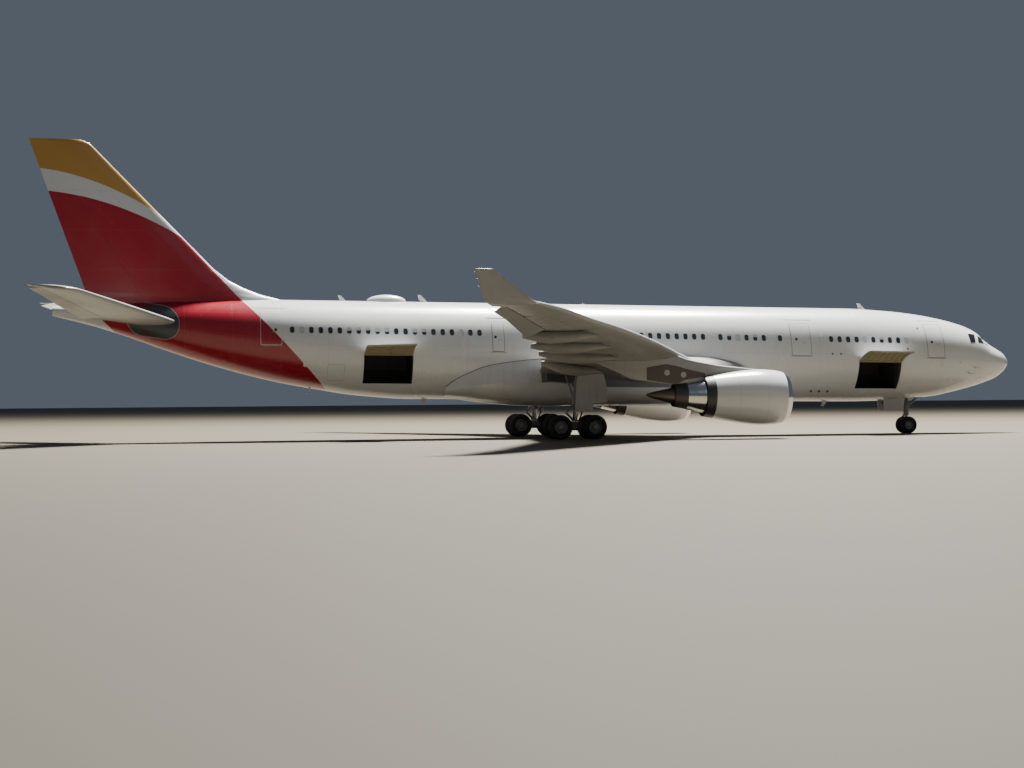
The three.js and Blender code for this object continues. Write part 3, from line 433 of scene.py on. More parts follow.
def livery_marks(station, over, local=None):
    """The marks that the livery reads, on the hull and on the panels that lie on it."""
    return {"crimson_edge": crimson_edge(station, over), "gold_edge": station * 0 - 1,
            "pale_edge": station * 0 - 1}


# Columns: name, node, stations from and to, rows, material. The two doorways are cut at their own lines.
HULL_SECTIONS = [
    ("radome_shell", "radome", 0, 1.3, 40, hull_white),
    ("front_hull", "fuselage_front", 1.3, 17, 110, hull_white),
    ("centre_hull", "fuselage_centre", 17, 35.9, 30, hull_white),
    ("rear_hull", "fuselage_rear", 35.9, 53.6, 120, hull_livery),
    ("tail_cone_hull", "tail_cone", 53.6, 57.6, 40, hull_livery),
]
# Columns: doorway from and to, sill and header over the axis.
DOORWAYS = {"front_hull": (8.06, 10.78, -2.05, -0.4), "rear_hull": (37.6, 40.4, -1.96, -0.28)}
WARP_REACH, WARP_LENGTH = 0.3, 1.5


def hull_shell(name, start, stop, rows):
    """A length of the hull. Where it has a doorway, the columns nearest to its sill and header are drawn onto
    them, the neighbours follow less and less, and the cells between are left out."""
    power = 2 if start < BLUNT_END else 1
    along = np.linspace(start ** (1 / power), stop ** (1 / power), rows) ** power
    angles, keep = KEEL + turns(AROUND_HULL), None
    if name in DOORWAYS:
        near, far, sill, header = DOORWAYS[name]
        clear = (abs(along - near) > 0.08) & (abs(along - far) > 0.08)
        along = np.unique(np.concatenate([along[clear], [near, far]]))
        grid = np.repeat(angles[None], len(along), 0)
        beside = (along >= near) & (along <= far)
        nearby = np.clip(1 - np.maximum(near - along, along - far) / WARP_LENGTH, 0, 1)
        columns = []
        for over in (header, sill):
            wanted = hull_angle(along, over)
            column = np.abs(angles - wanted[beside].mean()).argmin()
            pull = np.clip(1 - np.abs(angles - angles[column]) / WARP_REACH, 0, 1)
            grid = grid + ((wanted - angles[column]) * nearby)[:, None] * pull
            columns.append(column)
        middle = (along[:-1] + along[1:]) / 2
        keep = np.ones((len(along) - 1, AROUND_HULL), bool)
        keep[np.ix_((middle > near) & (middle < far), np.arange(columns[0], columns[1]))] = False
        angles = grid
    stations, angles = np.broadcast_arrays(along[:, None], angles)
    points = hull(stations, angles)
    girth = 2 * np.pi * BARREL_RADIUS * np.arange(AROUND_HULL + 1) / AROUND_HULL
    uv = paired(along[:, None], girth)
    marks = livery_marks(stations, points[..., 2] - axis_height(stations))
    return sheet(points, around=True, ends="a" if start == 0 else "", keep=keep, uv=uv, marks=marks)


for name, node, start, stop, rows, material in HULL_SECTIONS:
    piece(name, [hull_shell(name, start, stop, rows)], [material], node)

# Cargo holds
# The two lower holds are lined with pale composite panels between the frames and floored with aluminium, with
# roller tracks for the load. The lining is coloured dark grey, as painted shade of the hold's interior. The
# doorway's jambs are cut back square to the skin.
HOLD_FLOOR_HALF, HOLD_WALL_HALF, HOLD_SHOULDER = 1.55, 2.2, 0.85
HOLDS = {"front": ("front_hull", 7.5, 11.6), "rear": ("rear_hull", 37.2, 41.0)}
TRACKS, TRACK_WIDTH, TRACK_HEIGHT, ROLLER_STEP = (-1.2, -0.42, 0.42, 1.2), 0.12, 0.03, 0.25

# Dark grey in place of the pale panels' own colour: painted shade of the hold's interior.
hold_lining_painted_shade = finish("hold_lining_painted_shade", (0.13, 0.135, 0.13), 0.6, grime=(0.05, 0.05, 0.045), amount=0.6,
                     along=0.51, across=0.9)
hold_floor = finish("hold_floor", (0.3, 0.3, 0.29), 0.45, metallic=0.8, grime=(0.06, 0.055, 0.05), amount=0.7)
jamb_metal = finish("jamb_metal", (0.42, 0.42, 0.38), 0.45, metallic=0.3, amount=0.5)


def block(stations, sides, heights, slot=0):
    """A straight box between two stations, sides and heights."""
    (y0, y1), (z0, z1) = sides, heights
    ring = np.array([[y0, z0], [y1, z0], [y1, z1], [y0, z1]])
    grid = point(np.array(stations)[:, None], ring[:, 0], ring[:, 1])
    return sheet(grid, around=True, ends="ab", slot=slot)


def inner_wall(over, sill):
    """Distance of the hold's wall from the middle: it leans out from the floor to the shoulder."""
    share = np.clip((over - sill) / HOLD_SHOULDER, 0, 1)
    return HOLD_FLOOR_HALF + (HOLD_WALL_HALF - HOLD_FLOOR_HALF) * share


for name, (shell, hold_from, hold_to) in HOLDS.items():
    near, far, sill, header = DOORWAYS[shell]
    inside = lambda stations, sides, overs: point(stations, sides, axis_height(stations) + overs)
    lengths = np.array([hold_from, near, far, hold_to])[:, None]
    ends = np.array([hold_from, hold_to])[:, None]
    wall_over = np.array([header, sill + HOLD_SHOULDER, sill])
    wall_side = inner_wall(wall_over, sill)
    sheets = [
        sheet(inside(ends, np.array([-HOLD_FLOOR_HALF, HOLD_FLOOR_HALF]), sill), facing=(0, 0, 1), slot=1),
        sheet(inside(ends, np.array([-HOLD_WALL_HALF, HOLD_WALL_HALF]), header), facing=(0, 0, -1),
              uv=paired(ends, np.array([0, 4.4]))),
        sheet(inside(ends, wall_side, wall_over), facing=(0, -1, 0), uv=paired(ends, wall_over)),
        sheet(inside(lengths, -wall_side, wall_over), facing=(0, 1, 0), uv=paired(lengths, wall_over),
              keep=np.array([[True, True], [False, False], [True, True]])),
    ]
    for station, way in ((hold_from, -1), (hold_to, 1)):
        across = np.array([-1, 1])[:, None] * wall_side
        sheets.append(sheet(inside(station, across, wall_over), facing=(way, 0, 0)))
    over = np.linspace(header, sill, 24)
    for station, way in ((near, -1), (far, 1)):
        skin = -hull_side(-1)(station, over)[:, 1]
        wall = inner_wall(over, sill)
        lip = np.minimum(skin, np.maximum(wall, skin - 0.12))
        for inner, outer, slot in ((wall, lip, 0), (lip, skin, 2)):
            grid = inside(station, -np.stack([inner, outer], 1), over[:, None])
            sheets.append(sheet(grid, facing=(way, 0, 0), slot=slot))
    along = np.linspace(near, far, 12)
    for level, start, way in ((sill, HOLD_FLOOR_HALF, 1), (header, HOLD_WALL_HALF, -1)):
        skin = -hull_side(-1)(along, level)[:, 1]
        grid = inside(along[:, None], -paired(start, skin), level)
        sheets.append(sheet(grid, facing=(0, 0, way), slot=2))
    ground = lambda station: float(axis_height(station)) + sill
    for side in TRACKS:
        for edge in (-TRACK_WIDTH / 2, TRACK_WIDTH / 2):
            across, up = edge + np.array([-0.012, 0.012, 0.012,
                                          -0.012]), np.array([0, 0, 1, 1]) * TRACK_HEIGHT
            rail = inside(ends + np.array([[0.02], [-0.02]]), side + across, sill + up)
            sheets.append(sheet(rail, around=True, ends="ab", slot=1))
        for station in np.arange(hold_from + 0.15, hold_to - 0.1, ROLLER_STEP):
            height = ground(station) + TRACK_HEIGHT - 0.012
            sheets.append(block((station - 0.018, station + 0.018), (side - 0.045, side + 0.045),
                                (height - 0.01, height + 0.012), 2))
    piece(f"{name}_hold_lining_painted_shade", sheets, [hold_lining_painted_shade, hold_floor, jamb_metal])

# Cargo doors
# Each leaf is a curved skin on a deep rim and upright beams, hinged along its upper edge, with hook latches
# along the lower one. It is drawn shut and then swung up to where the frame holds it open.
LEAF_GAP, LEAF_SKIN, LEAF_DEPTH, LEAF_RIM, LEAF_TOP_STEP = 0.02, 0.045, 0.13, 0.1, 0.035
KNUCKLE_RADIUS, KNUCKLE_TUBE, KNUCKLE_INSET, BEAMS = 0.03, 0.024, 0.02, 6
LEAVES = {
    "cargo_door_front": ("front_hull", "front_cargo_leaf", "front_cargo_hinge"),
    "cargo_door_rear": ("rear_hull", "rear_cargo_leaf", "rear_cargo_hinge"),
}
leaf_inside = finish("leaf_inside", (0.33, 0.3, 0.19), 0.5, grime=(0.08, 0.07, 0.05), amount=0.6, grain=0.1)
latch_steel = finish("latch_steel", (0.25, 0.25, 0.26), 0.35, metallic=0.9, amount=0.3)


def slab(stations, overs, depths, slot=0, rows=16):
    """A part of a leaf: a box bent to the hull, between two stations, two heights and two depths."""
    (near, far), (out, deep), level = stations, depths, np.linspace(*overs, rows)[:, None]
    station, depth, level = np.broadcast_arrays([near, far, far, near], [out, out, deep, deep], level)
    return sheet(hull_side(-1)(station, level, -depth), around=True, ends="ab", slot=slot)


def tube(path, radius, sides, slot=0):
    """A round bar along a path: rings at right angles to it, whose size may change from point to point."""
    path = np.asarray(path, float)
    along = np.gradient(path, axis=0)
    along /= np.linalg.norm(along, axis=1, keepdims=True)
    guide = np.eye(3)[np.abs(along).mean(0).argmin()]
    first = np.cross(along, guide)
    first /= np.linalg.norm(first, axis=1, keepdims=True)
    second = np.cross(along, first)
    turn = turns(sides)
    reach = np.broadcast_to(np.asarray(radius, float), len(path))[:, None, None]
    ring = first[:, None] * np.cos(turn)[:, None] + second[:, None] * np.sin(turn)[:, None]
    return sheet(path[:, None] + reach * ring, around=True, ends="ab", slot=slot)


for name, (shell, body, joint_name) in LEAVES.items():
    near, far, sill, header = DOORWAYS[shell]
    joint = next(joint for joint in frame["joints"] if joint["name"] == joint_name)
    near, far, low, high = near + LEAF_GAP, far - LEAF_GAP, sill + LEAF_GAP, header - KNUCKLE_RADIUS
    inside_top = high - LEAF_TOP_STEP
    width, tall = (near + LEAF_RIM, far - LEAF_RIM), (low + LEAF_RIM, inside_top - LEAF_RIM)
    sheets = [slab((near, far), (low, high), (0, LEAF_SKIN))]
    for stile in ((near, width[0]), (width[1], far)):
        sheets.append(slab(stile, (low, inside_top), (LEAF_SKIN, LEAF_DEPTH), 1))
    for rail in ((low, tall[0]), (tall[1], inside_top)):
        sheets.append(slab(width, rail, (LEAF_SKIN, LEAF_DEPTH), 1, 4))
    for middle in np.linspace(near, far, BEAMS + 2)[1:-1]:
        sheets.append(slab((middle - 0.03, middle + 0.03), tall, (LEAF_SKIN, LEAF_DEPTH - 0.02), 1))
        hook = (middle - 0.05, middle + 0.05)
        sheets.append(slab(hook, (low - 0.004, low + 0.05), (LEAF_SKIN, LEAF_DEPTH + 0.004), 2, 3))
    for over in (low + 0.55, low + 1.1):
        sheets.append(slab(width, (over - 0.025, over + 0.025), (LEAF_SKIN, LEAF_DEPTH - 0.05), 1, 3))
    sheets.append(slab(width, tall, (LEAF_SKIN, LEAF_SKIN + 0.004), 1))
    start, stop = hull_side(-1)(np.array([near, far]), high, -KNUCKLE_INSET)
    sheets.append(tube(np.linspace(start, stop, 30), KNUCKLE_TUBE, 12, slot=2))
    swing = (joint["pos_m"], joint["axis"], -joint["range_deg"][1])
    piece(name + "_leaf", sheets, [hull_white, leaf_inside, latch_steel], name, body=body, swing=swing)

# Passenger doors
# Four plug doors on each side, flush with the skin: a thin dark seal shows round each, with a small window, a
# flap over the handle, a scuffed sill below and a rain gutter above.
# Columns: station and height over the axis of the door's middle, half width, half height.
DOORS = [
    [5.74, 0.845, 0.6, 1.025],
    [14.4, 0.825, 0.62, 0.975],
    [32.67, 0.78, 0.36, 0.87],
    [45.58, 1.11, 0.6, 0.96],
]
# Station and height over the axis of each door's small window.
DOOR_GLASS, DOOR_GLASS_HALF = [(5.996, 0.765), (14.7, 0.83), (32.84, 0.74), (45.34, 1.02)], (0.065, 0.075)
DOOR_CORNER, DOOR_SEAL, DOOR_PROUD = 0.1, 0.03, 0.006
FULL_CURVE = (0.8, 0.6, 0.4, 0.2, 0)
HANDS = ((-1, "right"), (1, "left"))

seal_dark = finish("door_seal", (0.13, 0.135, 0.14), 0.7, amount=0.1)
seal_light = finish("door_edge_metal", (0.55, 0.56, 0.58), 0.35, metallic=0.5, amount=0.1)
glass_dark = finish("door_glass", (0.02, 0.024, 0.03), 0.08, coat=0.5, amount=0.05)
scuffed = finish("scuffed_metal", (0.3, 0.3, 0.31), 0.4, metallic=0.7, amount=0.5)


def patches(onto, spread, halves, radius, rings, slots, around=32, fill=(0.6, 0.3, 0), marks=None):
    """Panels that lie on a surface. Each outline is a rectangle with arcs for corners: a point of its edge is
    drawn to a rectangle smaller by the radius, then put the radius out. A ring is (metres inside the outline,
    metres proud), fill shrinks the last ring to a point, slots gives each band's material, spread turns local
    metres into the surface's own two coordinates, and onto turns these into points."""
    steps = np.arange(around) * 4 / around
    ramp = lambda shift: np.clip(2 * np.abs((steps + shift) % 4 - 2) - 2, -1, 1)
    edge = np.stack([ramp(0.5), ramp(3.5)], -1)
    half = np.asarray(halves, float).reshape(-1, 1, 1, 2)
    inset = np.array([inset for inset, _ in rings] + [rings[-1][0]] * len(fill))[:, None, None]
    proud = np.array([proud for _, proud in rings] + [rings[-1][1]] * len(fill))[:, None]
    shrink = np.array([1.0] * len(rings) + list(fill))[:, None, None]
    curve = np.maximum(radius - inset, 1e-4)
    local = edge * (half - inset)
    core = np.clip(local, inset + curve - half, half - inset - curve)
    arm = local - core
    local = (core + curve * arm / np.maximum(np.linalg.norm(arm, axis=-1, keepdims=True), 1e-9)) * shrink
    first, second = spread(local[..., 0], local[..., 1])
    lift = proud + 0 * first
    points, over = onto(first, second, lift), onto(first, second, lift + 0.05)
    count, bands = points.shape[0], points.shape[1]
    local = np.broadcast_to(local, first.shape + (2,))
    flat = lambda values: np.asarray(values).reshape((count * bands,) + values.shape[2:])
    kinds = np.tile(list(slots) + [slots[-1]] * (bands - len(slots)), count)[:-1, None]
    whole = np.arange(count * bands - 1) % bands != bands - 1
    keep = np.repeat(whole[:, None], around, 1)
    marks = {name: flat(value) for name, value in (marks(first, second, local) if marks else {}).items()}
    out = flat(over - points)[:-1]
    return sheet(flat(points), around=True, facing=out * whole[:, None, None], keep=keep, slot=kinds,
                 marks=marks)


def from_middle(middles):
    """Spread about each panel's middle."""
    middles = np.asarray(middles, float).reshape(-1, 1, 1, 2)
    return lambda u, v: (middles[..., 0] + u, middles[..., 1] + v)


for hand, side in HANDS:
    onto = hull_side(hand)
    for number, (station, over, half_width, half_height) in enumerate(DOORS, 1):
        spread, half = from_middle([station, over]), (half_width, half_height)
        rings = [(0, 0.001), (0, 0.004), (DOOR_SEAL, 0.004), (DOOR_SEAL, DOOR_PROUD)]
        rings.append((DOOR_SEAL + 0.01, DOOR_PROUD + 0.002))
        fill = (0.95, 0.9) + FULL_CURVE
        sheets = [patches(onto, spread, half, DOOR_CORNER, rings, (1, 1, 0, 0, 0), 96, fill, livery_marks)]
        glass = from_middle(DOOR_GLASS[number - 1])
        rings = [(-0.015, 0.008), (-0.015, 0.012), (0, 0.012), (0.002, 0.01)]
        sheets.append(patches(onto, glass, DOOR_GLASS_HALF, 0.07, rings, (3, 3, 3, 2)))
        flap = from_middle([station - 0.3 * half_width, over - 0.22])
        rings = [(0, 0.008), (0, 0.011), (0.01, 0.011), (0.01, 0.009)]
        sheets.append(patches(onto, flap, (0.11, 0.045), 0.02, rings, (1, 1, 1, 0), marks=livery_marks))
        reach = half_width + 0.07
        foot = np.linspace(station - reach, station + reach, 12)
        sheets.append(tube(onto(foot, over - half_height - 0.035), 0.018, 8, slot=3))
        gutter = np.linspace(station - reach - 0.15, station + reach + 0.15, 16)
        sheets.append(tube(onto(gutter, over + half_height + 0.2), 0.012, 8, slot=1))
        edge = seal_light if number == 4 else seal_dark
        piece(f"passenger_door_{number}_{side}", sheets, [hull_livery, edge, glass_dark, scuffed])

# Cabin windows
# Acrylic panes with rounded corners in pressed frames, one to each frame bay. Some have their blinds drawn,
# all the way or half way, and a few bays are blanked with a plain plug.
WINDOW_PITCH = 0.5334
WINDOW_HALF, WINDOW_CORNER = (0.132, 0.185), 0.11
WINDOW_LINE, WINDOW_LINE_STATION, WINDOW_LINE_SLOPE = 0.84, 8.3, 0.0053
# Rearmost station of each run, and how far each blind is down from there forward.
WINDOW_RUNS = [
    (44.42, [0, 1, 0, 0, 0, 0, 0.5, 0.45, 0.4, 0.6, 0.6, 0, 0, 0.6, 0.5, 0, 0, 0, 1, 0, 0]),
    (31.1066, [0, 1, 0, 0.5, 0, 0, 0, 0, 1, 0, 0.4, 0, 0] + [0] * 8),
    (19.37, [0, 0.3, 1, 0, 0.4, 0]),
    (15.7, [0]),
    (12.51, [0, 0, 0, 0, 1, 0, 0.4, 0, 0, 1]),
]
WINDOW_PLUGS = (13.08, 7.18)


def blind_or_glass(tree):
    """Dark glass, and the pale blind above the height that the mark gives."""
    drawn = calc(tree, "SUBTRACT", calc(tree, "ADD", mark(tree, "pane_height"), mark(tree, "blind")), 1.0)
    return mixed(tree, between(tree, drawn, -0.02, 0.02), (0.025, 0.03, 0.038), (0.5, 0.51, 0.52))


window_pane = finish("window_pane", (0.03, 0.03, 0.04), 0.12, coat=0.4, amount=0.05, paint=blind_or_glass)
window_frame = finish("window_frame", (0.4, 0.41, 0.43), 0.4, metallic=0.3, amount=0.1)

stations = np.concatenate([start - WINDOW_PITCH * np.arange(len(blinds)) for start, blinds in WINDOW_RUNS])
blinds = np.concatenate([blinds for _, blinds in WINDOW_RUNS])
window_line = lambda stations: WINDOW_LINE + WINDOW_LINE_SLOPE * (np.asarray(stations) - WINDOW_LINE_STATION)
for hand, side in HANDS:
    onto, shades = hull_side(hand), blinds if hand < 0 else np.roll(blinds, 5)
    marks = lambda first, second, local: {
        "blind": shades[:, None, None] + 0 * first, "pane_height": 0.5 + 0.5 * local[..., 1] / WINDOW_HALF[1],
    }
    middles = np.stack([stations, window_line(stations)], -1)
    rings = [(-0.012, 0.0), (-0.008, 0.006), (0.006, 0.006), (0.012, 0.002)]
    sheets = [patches(onto, from_middle(middles), WINDOW_HALF, WINDOW_CORNER, rings, (0, 0, 0, 1),
                      marks=marks)]
    plugs = np.stack([WINDOW_PLUGS, window_line(WINDOW_PLUGS)], -1)
    rings = [(0, 0.0), (0.004, 0.003), (0.014, 0.003), (0.014, 0.001)]
    sheets.append(patches(onto, from_middle(plugs), WINDOW_HALF, WINDOW_CORNER, rings, (0, 0, 0, 2)))
    piece(f"cabin_windows_{side}", sheets, [window_frame, window_pane, hull_white])

# Cockpit windows
# Two windscreens and two side windows on each side, heated glass in bolted frames, with white posts between
# and a wiper parked at the foot of each windscreen.
# The corners of each pane, aft foot first and round over the top: station, and angle over the side in degrees.
COCKPIT_PANES = [
    [(2.03, 38.5), (2.16, 55), (2.24, 86.5), (1.62, 86.5)],
    [(2.54, 33.8), (2.42, 53.5), (2.2, 53), (2.1, 37)],
    [(3.16, 28), (3.19, 46.5), (2.66, 51.5), (2.78, 31)],
]
cockpit_glass = finish("cockpit_glass", (0.012, 0.014, 0.018), 0.06, coat=0.8, amount=0.03)
cockpit_frame = finish("cockpit_frame", (0.1, 0.105, 0.11), 0.5, amount=0.2)


def pane_spread(panes):
    """Local coordinates in the unit square spread between four corners by weights that add up to one."""
    corners = np.array(panes, float)[:, None, None]

    def spread(u, v):
        p, q = (1 + u) / 2, (1 + v) / 2
        weights = np.stack([(1 - p) * (1 - q), (1 - p) * q, p * q, p * (1 - q)], -1)[..., None]
        place = (weights * corners).sum(-2)
        return place[..., 0], np.pi - np.radians(place[..., 1])
    return spread


for hand, side in HANDS:
    onto = lambda station, angle, proud: hull(station, angle, proud) * [1, -hand, 1]
    rings = [(-0.07, 0.0), (-0.05, 0.008), (0.0, 0.008), (0.02, 0.003)]
    sheets = [patches(onto, pane_spread(COCKPIT_PANES), (1, 1), 0.22, rings, (0, 0, 0, 1), 48)]
    wiper = np.array([(1.56, 70), (1.6, 62), (1.72, 50), (1.86, 43)])
    arm = onto(wiper[:, 0], np.pi - np.radians(wiper[:, 1]), np.array([0.02, 0.035, 0.03, 0.02]))
    sheets.append(tube(arm, 0.012, 6, slot=0))
    stands = "cockpit_glazing" if hand < 0 else None
    piece(f"cockpit_windows_{side}", sheets, [cockpit_frame, cockpit_glass], stands)

# Belly fairing
# A composite fairing wraps the wing roots and the gear bays. It is screwed to frames below the hull, and a
# thin dark seal closes its edge against the skin.
# Columns: station, upper edge, bottom, half width; heights are over the fuselage axis.
BELLY = [
    [15.6, -2.45, -2.85, 1.72],
    [16.4, -1.75, -2.95, 2.42],
    [17.5, -1.0, -3.02, 2.8],
    [19.8, -0.5, -3.06, 2.95],
    [23, -0.42, -3.15, 3.02],
    [26.6, -0.42, -3.14, 3.04],
    [29.65, -0.47, -3.2, 3.04],
    [31.4, -0.62, -3.15, 3.0],
    [33.4, -0.95, -2.98, 2.86],
    [34.5, -1.4, -2.83, 2.52],
    [35.2, -1.78, -2.77, 2.16],
    [35.6, -2.12, -2.7, 1.82],
]
BELLY_SHOULDER, BELLY_FULLNESS, BELLY_CREASE = ((26.5, 29.6), (0.61, 0.5)), 2.9, 0.28
# The seal round the fairing's rear end. Columns: share of the way round, station, height over the axis.
REAR_SEAL = [[0, 35.2, -1.78], [0.22, 35.56, -2.14], [0.4, 35.3, -2.4], [0.75, 34.3, -2.67], [1, 33.7, -2.76]]

fairing_white = finish("fairing_white", (0.55, 0.555, 0.55), 0.3, coat=0.25, grime=(0.17, 0.15, 0.12),
                       amount=0.35, along=1.8, across=1.45)
seal_line = finish("seal_line", (0.07, 0.07, 0.075), 0.7, amount=0.1)
# A dark grey on the fairing's wall under the wing: painted shade of the wing above, not a paint of its own.
underwing_painted_shade = finish("underwing_painted_shade", (0.13, 0.135, 0.14), 0.45, amount=0.3, along=1.8, across=1.45)


def signed_power(value, power):
    """A power that keeps the value's sign."""
    return np.sign(value) * np.abs(value) ** power


def belly(station, share):
    """Points of the fairing, by a share of the way round from the port edge under the keel to the starboard
    edge: straight from an edge to the shoulder, then a superellipse half·cos^k, depth·sin^k below it, which
    starts at a small angle and so leaves a crease."""
    edge, bottom, half = smooth(BELLY, station)
    shoulder = edge + np.interp(station, *BELLY_SHOULDER) * (bottom - edge)
    edge_side = hull_side(1)(station, edge)[..., 1] + 0.03
    sweep = BELLY_CREASE + (np.pi - 2 * BELLY_CREASE) * np.clip((share - 0.12) / 0.76, 0, 1)
    swell = lambda value: signed_power(value, 2 / BELLY_FULLNESS)
    side = half * swell(np.cos(sweep)) / swell(np.cos(BELLY_CREASE))
    start = swell(np.sin(BELLY_CREASE))
    height = shoulder - (shoulder - bottom) * (swell(np.sin(sweep)) - start) / (1 - start)
    outer = np.clip(np.maximum(0.12 - share, share - 0.88) / 0.12, 0, 1)
    blend = outer * outer * (3 - 2 * outer)
    side = side + (edge_side * np.sign(0.5 - share) - side) * outer
    height = height + (edge - height) * (0.35 * outer + 0.65 * blend)
    return point(station, side, axis_height(station) + height)


along = np.linspace(15.6, 35.6, 90)[:, None]
share = np.concatenate([np.linspace(0, 0.12, 12), np.linspace(0.135, 0.865, 50),
                        np.linspace(0.88, 1, 12)])[None]
grid = belly(along, share)
girth = np.concatenate([np.zeros((90, 1)), np.cumsum(np.linalg.norm(np.diff(grid, axis=1), axis=2), 1)], 1)
uv = paired(along, girth)
# Cells of the wall under the wing, stations 20.8 to 30, take the painted shade.
shaded = (np.abs(along - 25.4) < 4.6) & (np.abs(share - 0.5) > 0.379)
sheets = [sheet(grid, uv=uv, slot=2 * shaded[:-1, :-1])]
for row in (0, -1):
    ring = grid[row]
    level = point(along[row], ring[:, 1] * 0.98, ring[[0, -1], 2].mean())
    sheets.append(sheet(np.stack([ring, level]), facing=(1 if row == 0 else -1, 0, 0)))
for hand in (-1, 1):
    edge = smooth(BELLY, along[:, 0])[0]
    sheets.append(tube(hull_side(hand)(along[:, 0], edge + 0.012, 0.012), 0.02, 6, slot=1))
    rear = smooth(REAR_SEAL, np.linspace(0, 1, 24))
    sheets.append(tube(hull_side(hand)(*rear, 0.012), 0.02, 6, slot=1))
sheets.append(tube(grid[0], 0.016, 6, slot=1))
piece("belly_fairing_shell", sheets, [fairing_white, seal_line, underwing_painted_shade], "belly_fairing", crease=20)

# Wings
# Each wing is an aluminium box with riveted skins and tanks inside, with rows of oval access plates on its
# lower skin. Slats close the leading edge, and the trailing edge is cut out for flaps and aileron.
# Columns: distance from the middle, leading edge station and height, trailing edge station and height, and
# thickness.
WING = [
    [1.6, 17.3, 3.66, 30.15, 3.74, 1.6],
    [2.95, 17.75, 3.76, 30.3, 3.82, 1.58],
    [3.7, 19.85, 3.78, 30.45, 3.92, 1.36],
    [4.6, 20.96, 3.88, 30.6, 4.05, 1.2],
    [6.4, 22.04, 4.18, 30.88, 4.28, 1.02],
    [9.8, 24.17, 4.7, 31.35, 4.62, 0.82],
    [13.6, 26.55, 5.23, 32.6, 4.97, 0.68],
    [18.6, 29.68, 5.74, 34.25, 5.4, 0.54],
    [22.3, 32.0, 6.01, 35.55, 5.72, 0.44],
    [26.1, 34.38, 6.35, 37.05, 6.12, 0.34],
    [29.2, 36.3, 6.49, 38.42, 6.42, 0.25],
]
# Columns: share of the chord, height of the upper skin and depth of the lower one, in thicknesses.
FOIL = [
    [0, 0, 0],
    [0.02, 0.22, 0.16],
    [0.08, 0.4, 0.28],
    [0.22, 0.56, 0.4],
    [0.4, 0.58, 0.42],
    [0.62, 0.44, 0.3],
    [0.82, 0.24, 0.13],
    [1, 0.03, 0.03],
]
EVEN_FOIL = [[share, (above + below) / 2, (above + below) / 2] for share, above, below in FOIL]
# Surfaces hinged to the wing: inner and outer end, share of the chord at the hinge, droop in degrees.
WING_SURFACES = {
    "flap_inboard": (3.25, 9.35, 0.78, 0),
    "flap_outboard": (9.5, 20.85, 0.76, 0),
    "aileron": (21.05, 28.45, 0.72, 24),
}
SURFACE_GAP, SURFACE_END = 0.02, 0.05
SLATS = ((4.75, 8.9), (9.85, 14.2), (14.26, 18.6), (18.66, 23.2), (23.26, 28.8))
SLAT_SHARE, SLAT_PROUD = 0.13, 0.008
# Rows of access plates: share of the chord, and places of the first and the last along the span.
PLATE_ROWS, PLATE_PITCH, PLATE_HALF = ((0.3, 5.0, 27.5), (0.48, 5.4, 26.0)), 0.78, (0.2, 0.13)

wing_grey = finish("wing_grey", (0.3, 0.305, 0.3), 0.35, coat=0.15, grime=(0.16, 0.14, 0.11), amount=0.4,
                   along=1.9, across=0.62)
slat_metal = finish("slat_metal", (0.32, 0.33, 0.33), 0.4, metallic=0.3, grime=(0.2, 0.19, 0.17), amount=0.3,
                    along=4.4, across=9)
plate_grey = finish("plate_grey", (0.25, 0.25, 0.24), 0.4, grime=(0.14, 0.12, 0.1), amount=0.4)


def edges(rows, span):
    """Stations of the leading and the trailing edge, which run straight from row to row."""
    rows = np.asarray(rows, float)
    return [np.interp(span, rows[:, 0], rows[:, column]) for column in (1, 3)]


def off_chord(shape, share, face):
    """Rise off the chord, in thicknesses, above (face 1) or below (-1). The shape is read over the root of
    the share, which rounds the leading edge."""
    shape = np.array(shape)
    shape[:, 0] = np.sqrt(shape[:, 0])
    above, below = smooth(shape, np.sqrt(share))
    return np.where(face > 0, above, -below)


def foil(rows, shape, span, share, face):
    """Station of a point on a flying surface, height of its chord there, and its rise off the chord."""
    front, back = edges(rows, span)
    _, low, _, high, thick = smooth(rows, span)
    return front + share * (back - front), low + share * (high - low), thick * off_chord(shape, share, face)


def level_map(rows, shape, hand):
    """A wing as a map from place along the span, share of the chord and face (1 above, -1 below), and from
    metres proud of the skin, to points."""
    def onto(span, share, face, proud=0.0):
        station, height, rise = foil(rows, shape, span, share, face)
        return point(station, hand * span, height + rise + np.where(face > 0, proud, -proud))
    return onto


def hinge_share(rows, surface, span):
    """Share of the chord where a surface's straight hinge line crosses."""
    start, stop, share, _ = surface
    front, back = edges(rows, np.array([start, stop]))
    line = np.interp(span, [start, stop], front + share * (back - front))
    front, back = edges(rows, span)
    return (line - front) / (back - front)


def foil_loft(onto, rows, spans, front, rear, columns=26, slot=0):
    """A closed length of a flying surface between two shares of the chord at each place along the span: over
    the upper face from rear to front, and back along the lower one."""
    steps = np.linspace(1, 0, columns) ** 2
    steps = np.concatenate([steps, steps[-2::-1]])
    face = np.where(np.arange(len(steps)) < columns, 1, -1)
    front, rear, along = np.broadcast_arrays(front, rear, spans)
    front, rear, along = front[:, None], rear[:, None], along[:, None]
    share = front + (rear - front) * steps
    ahead, back = edges(rows, along)
    uv = paired(along, share * (back - ahead))
    uv = np.concatenate([uv, uv[:, :1]], 1)
    return sheet(onto(along, share, face), around=True, ends="ab", uv=uv, slot=slot)


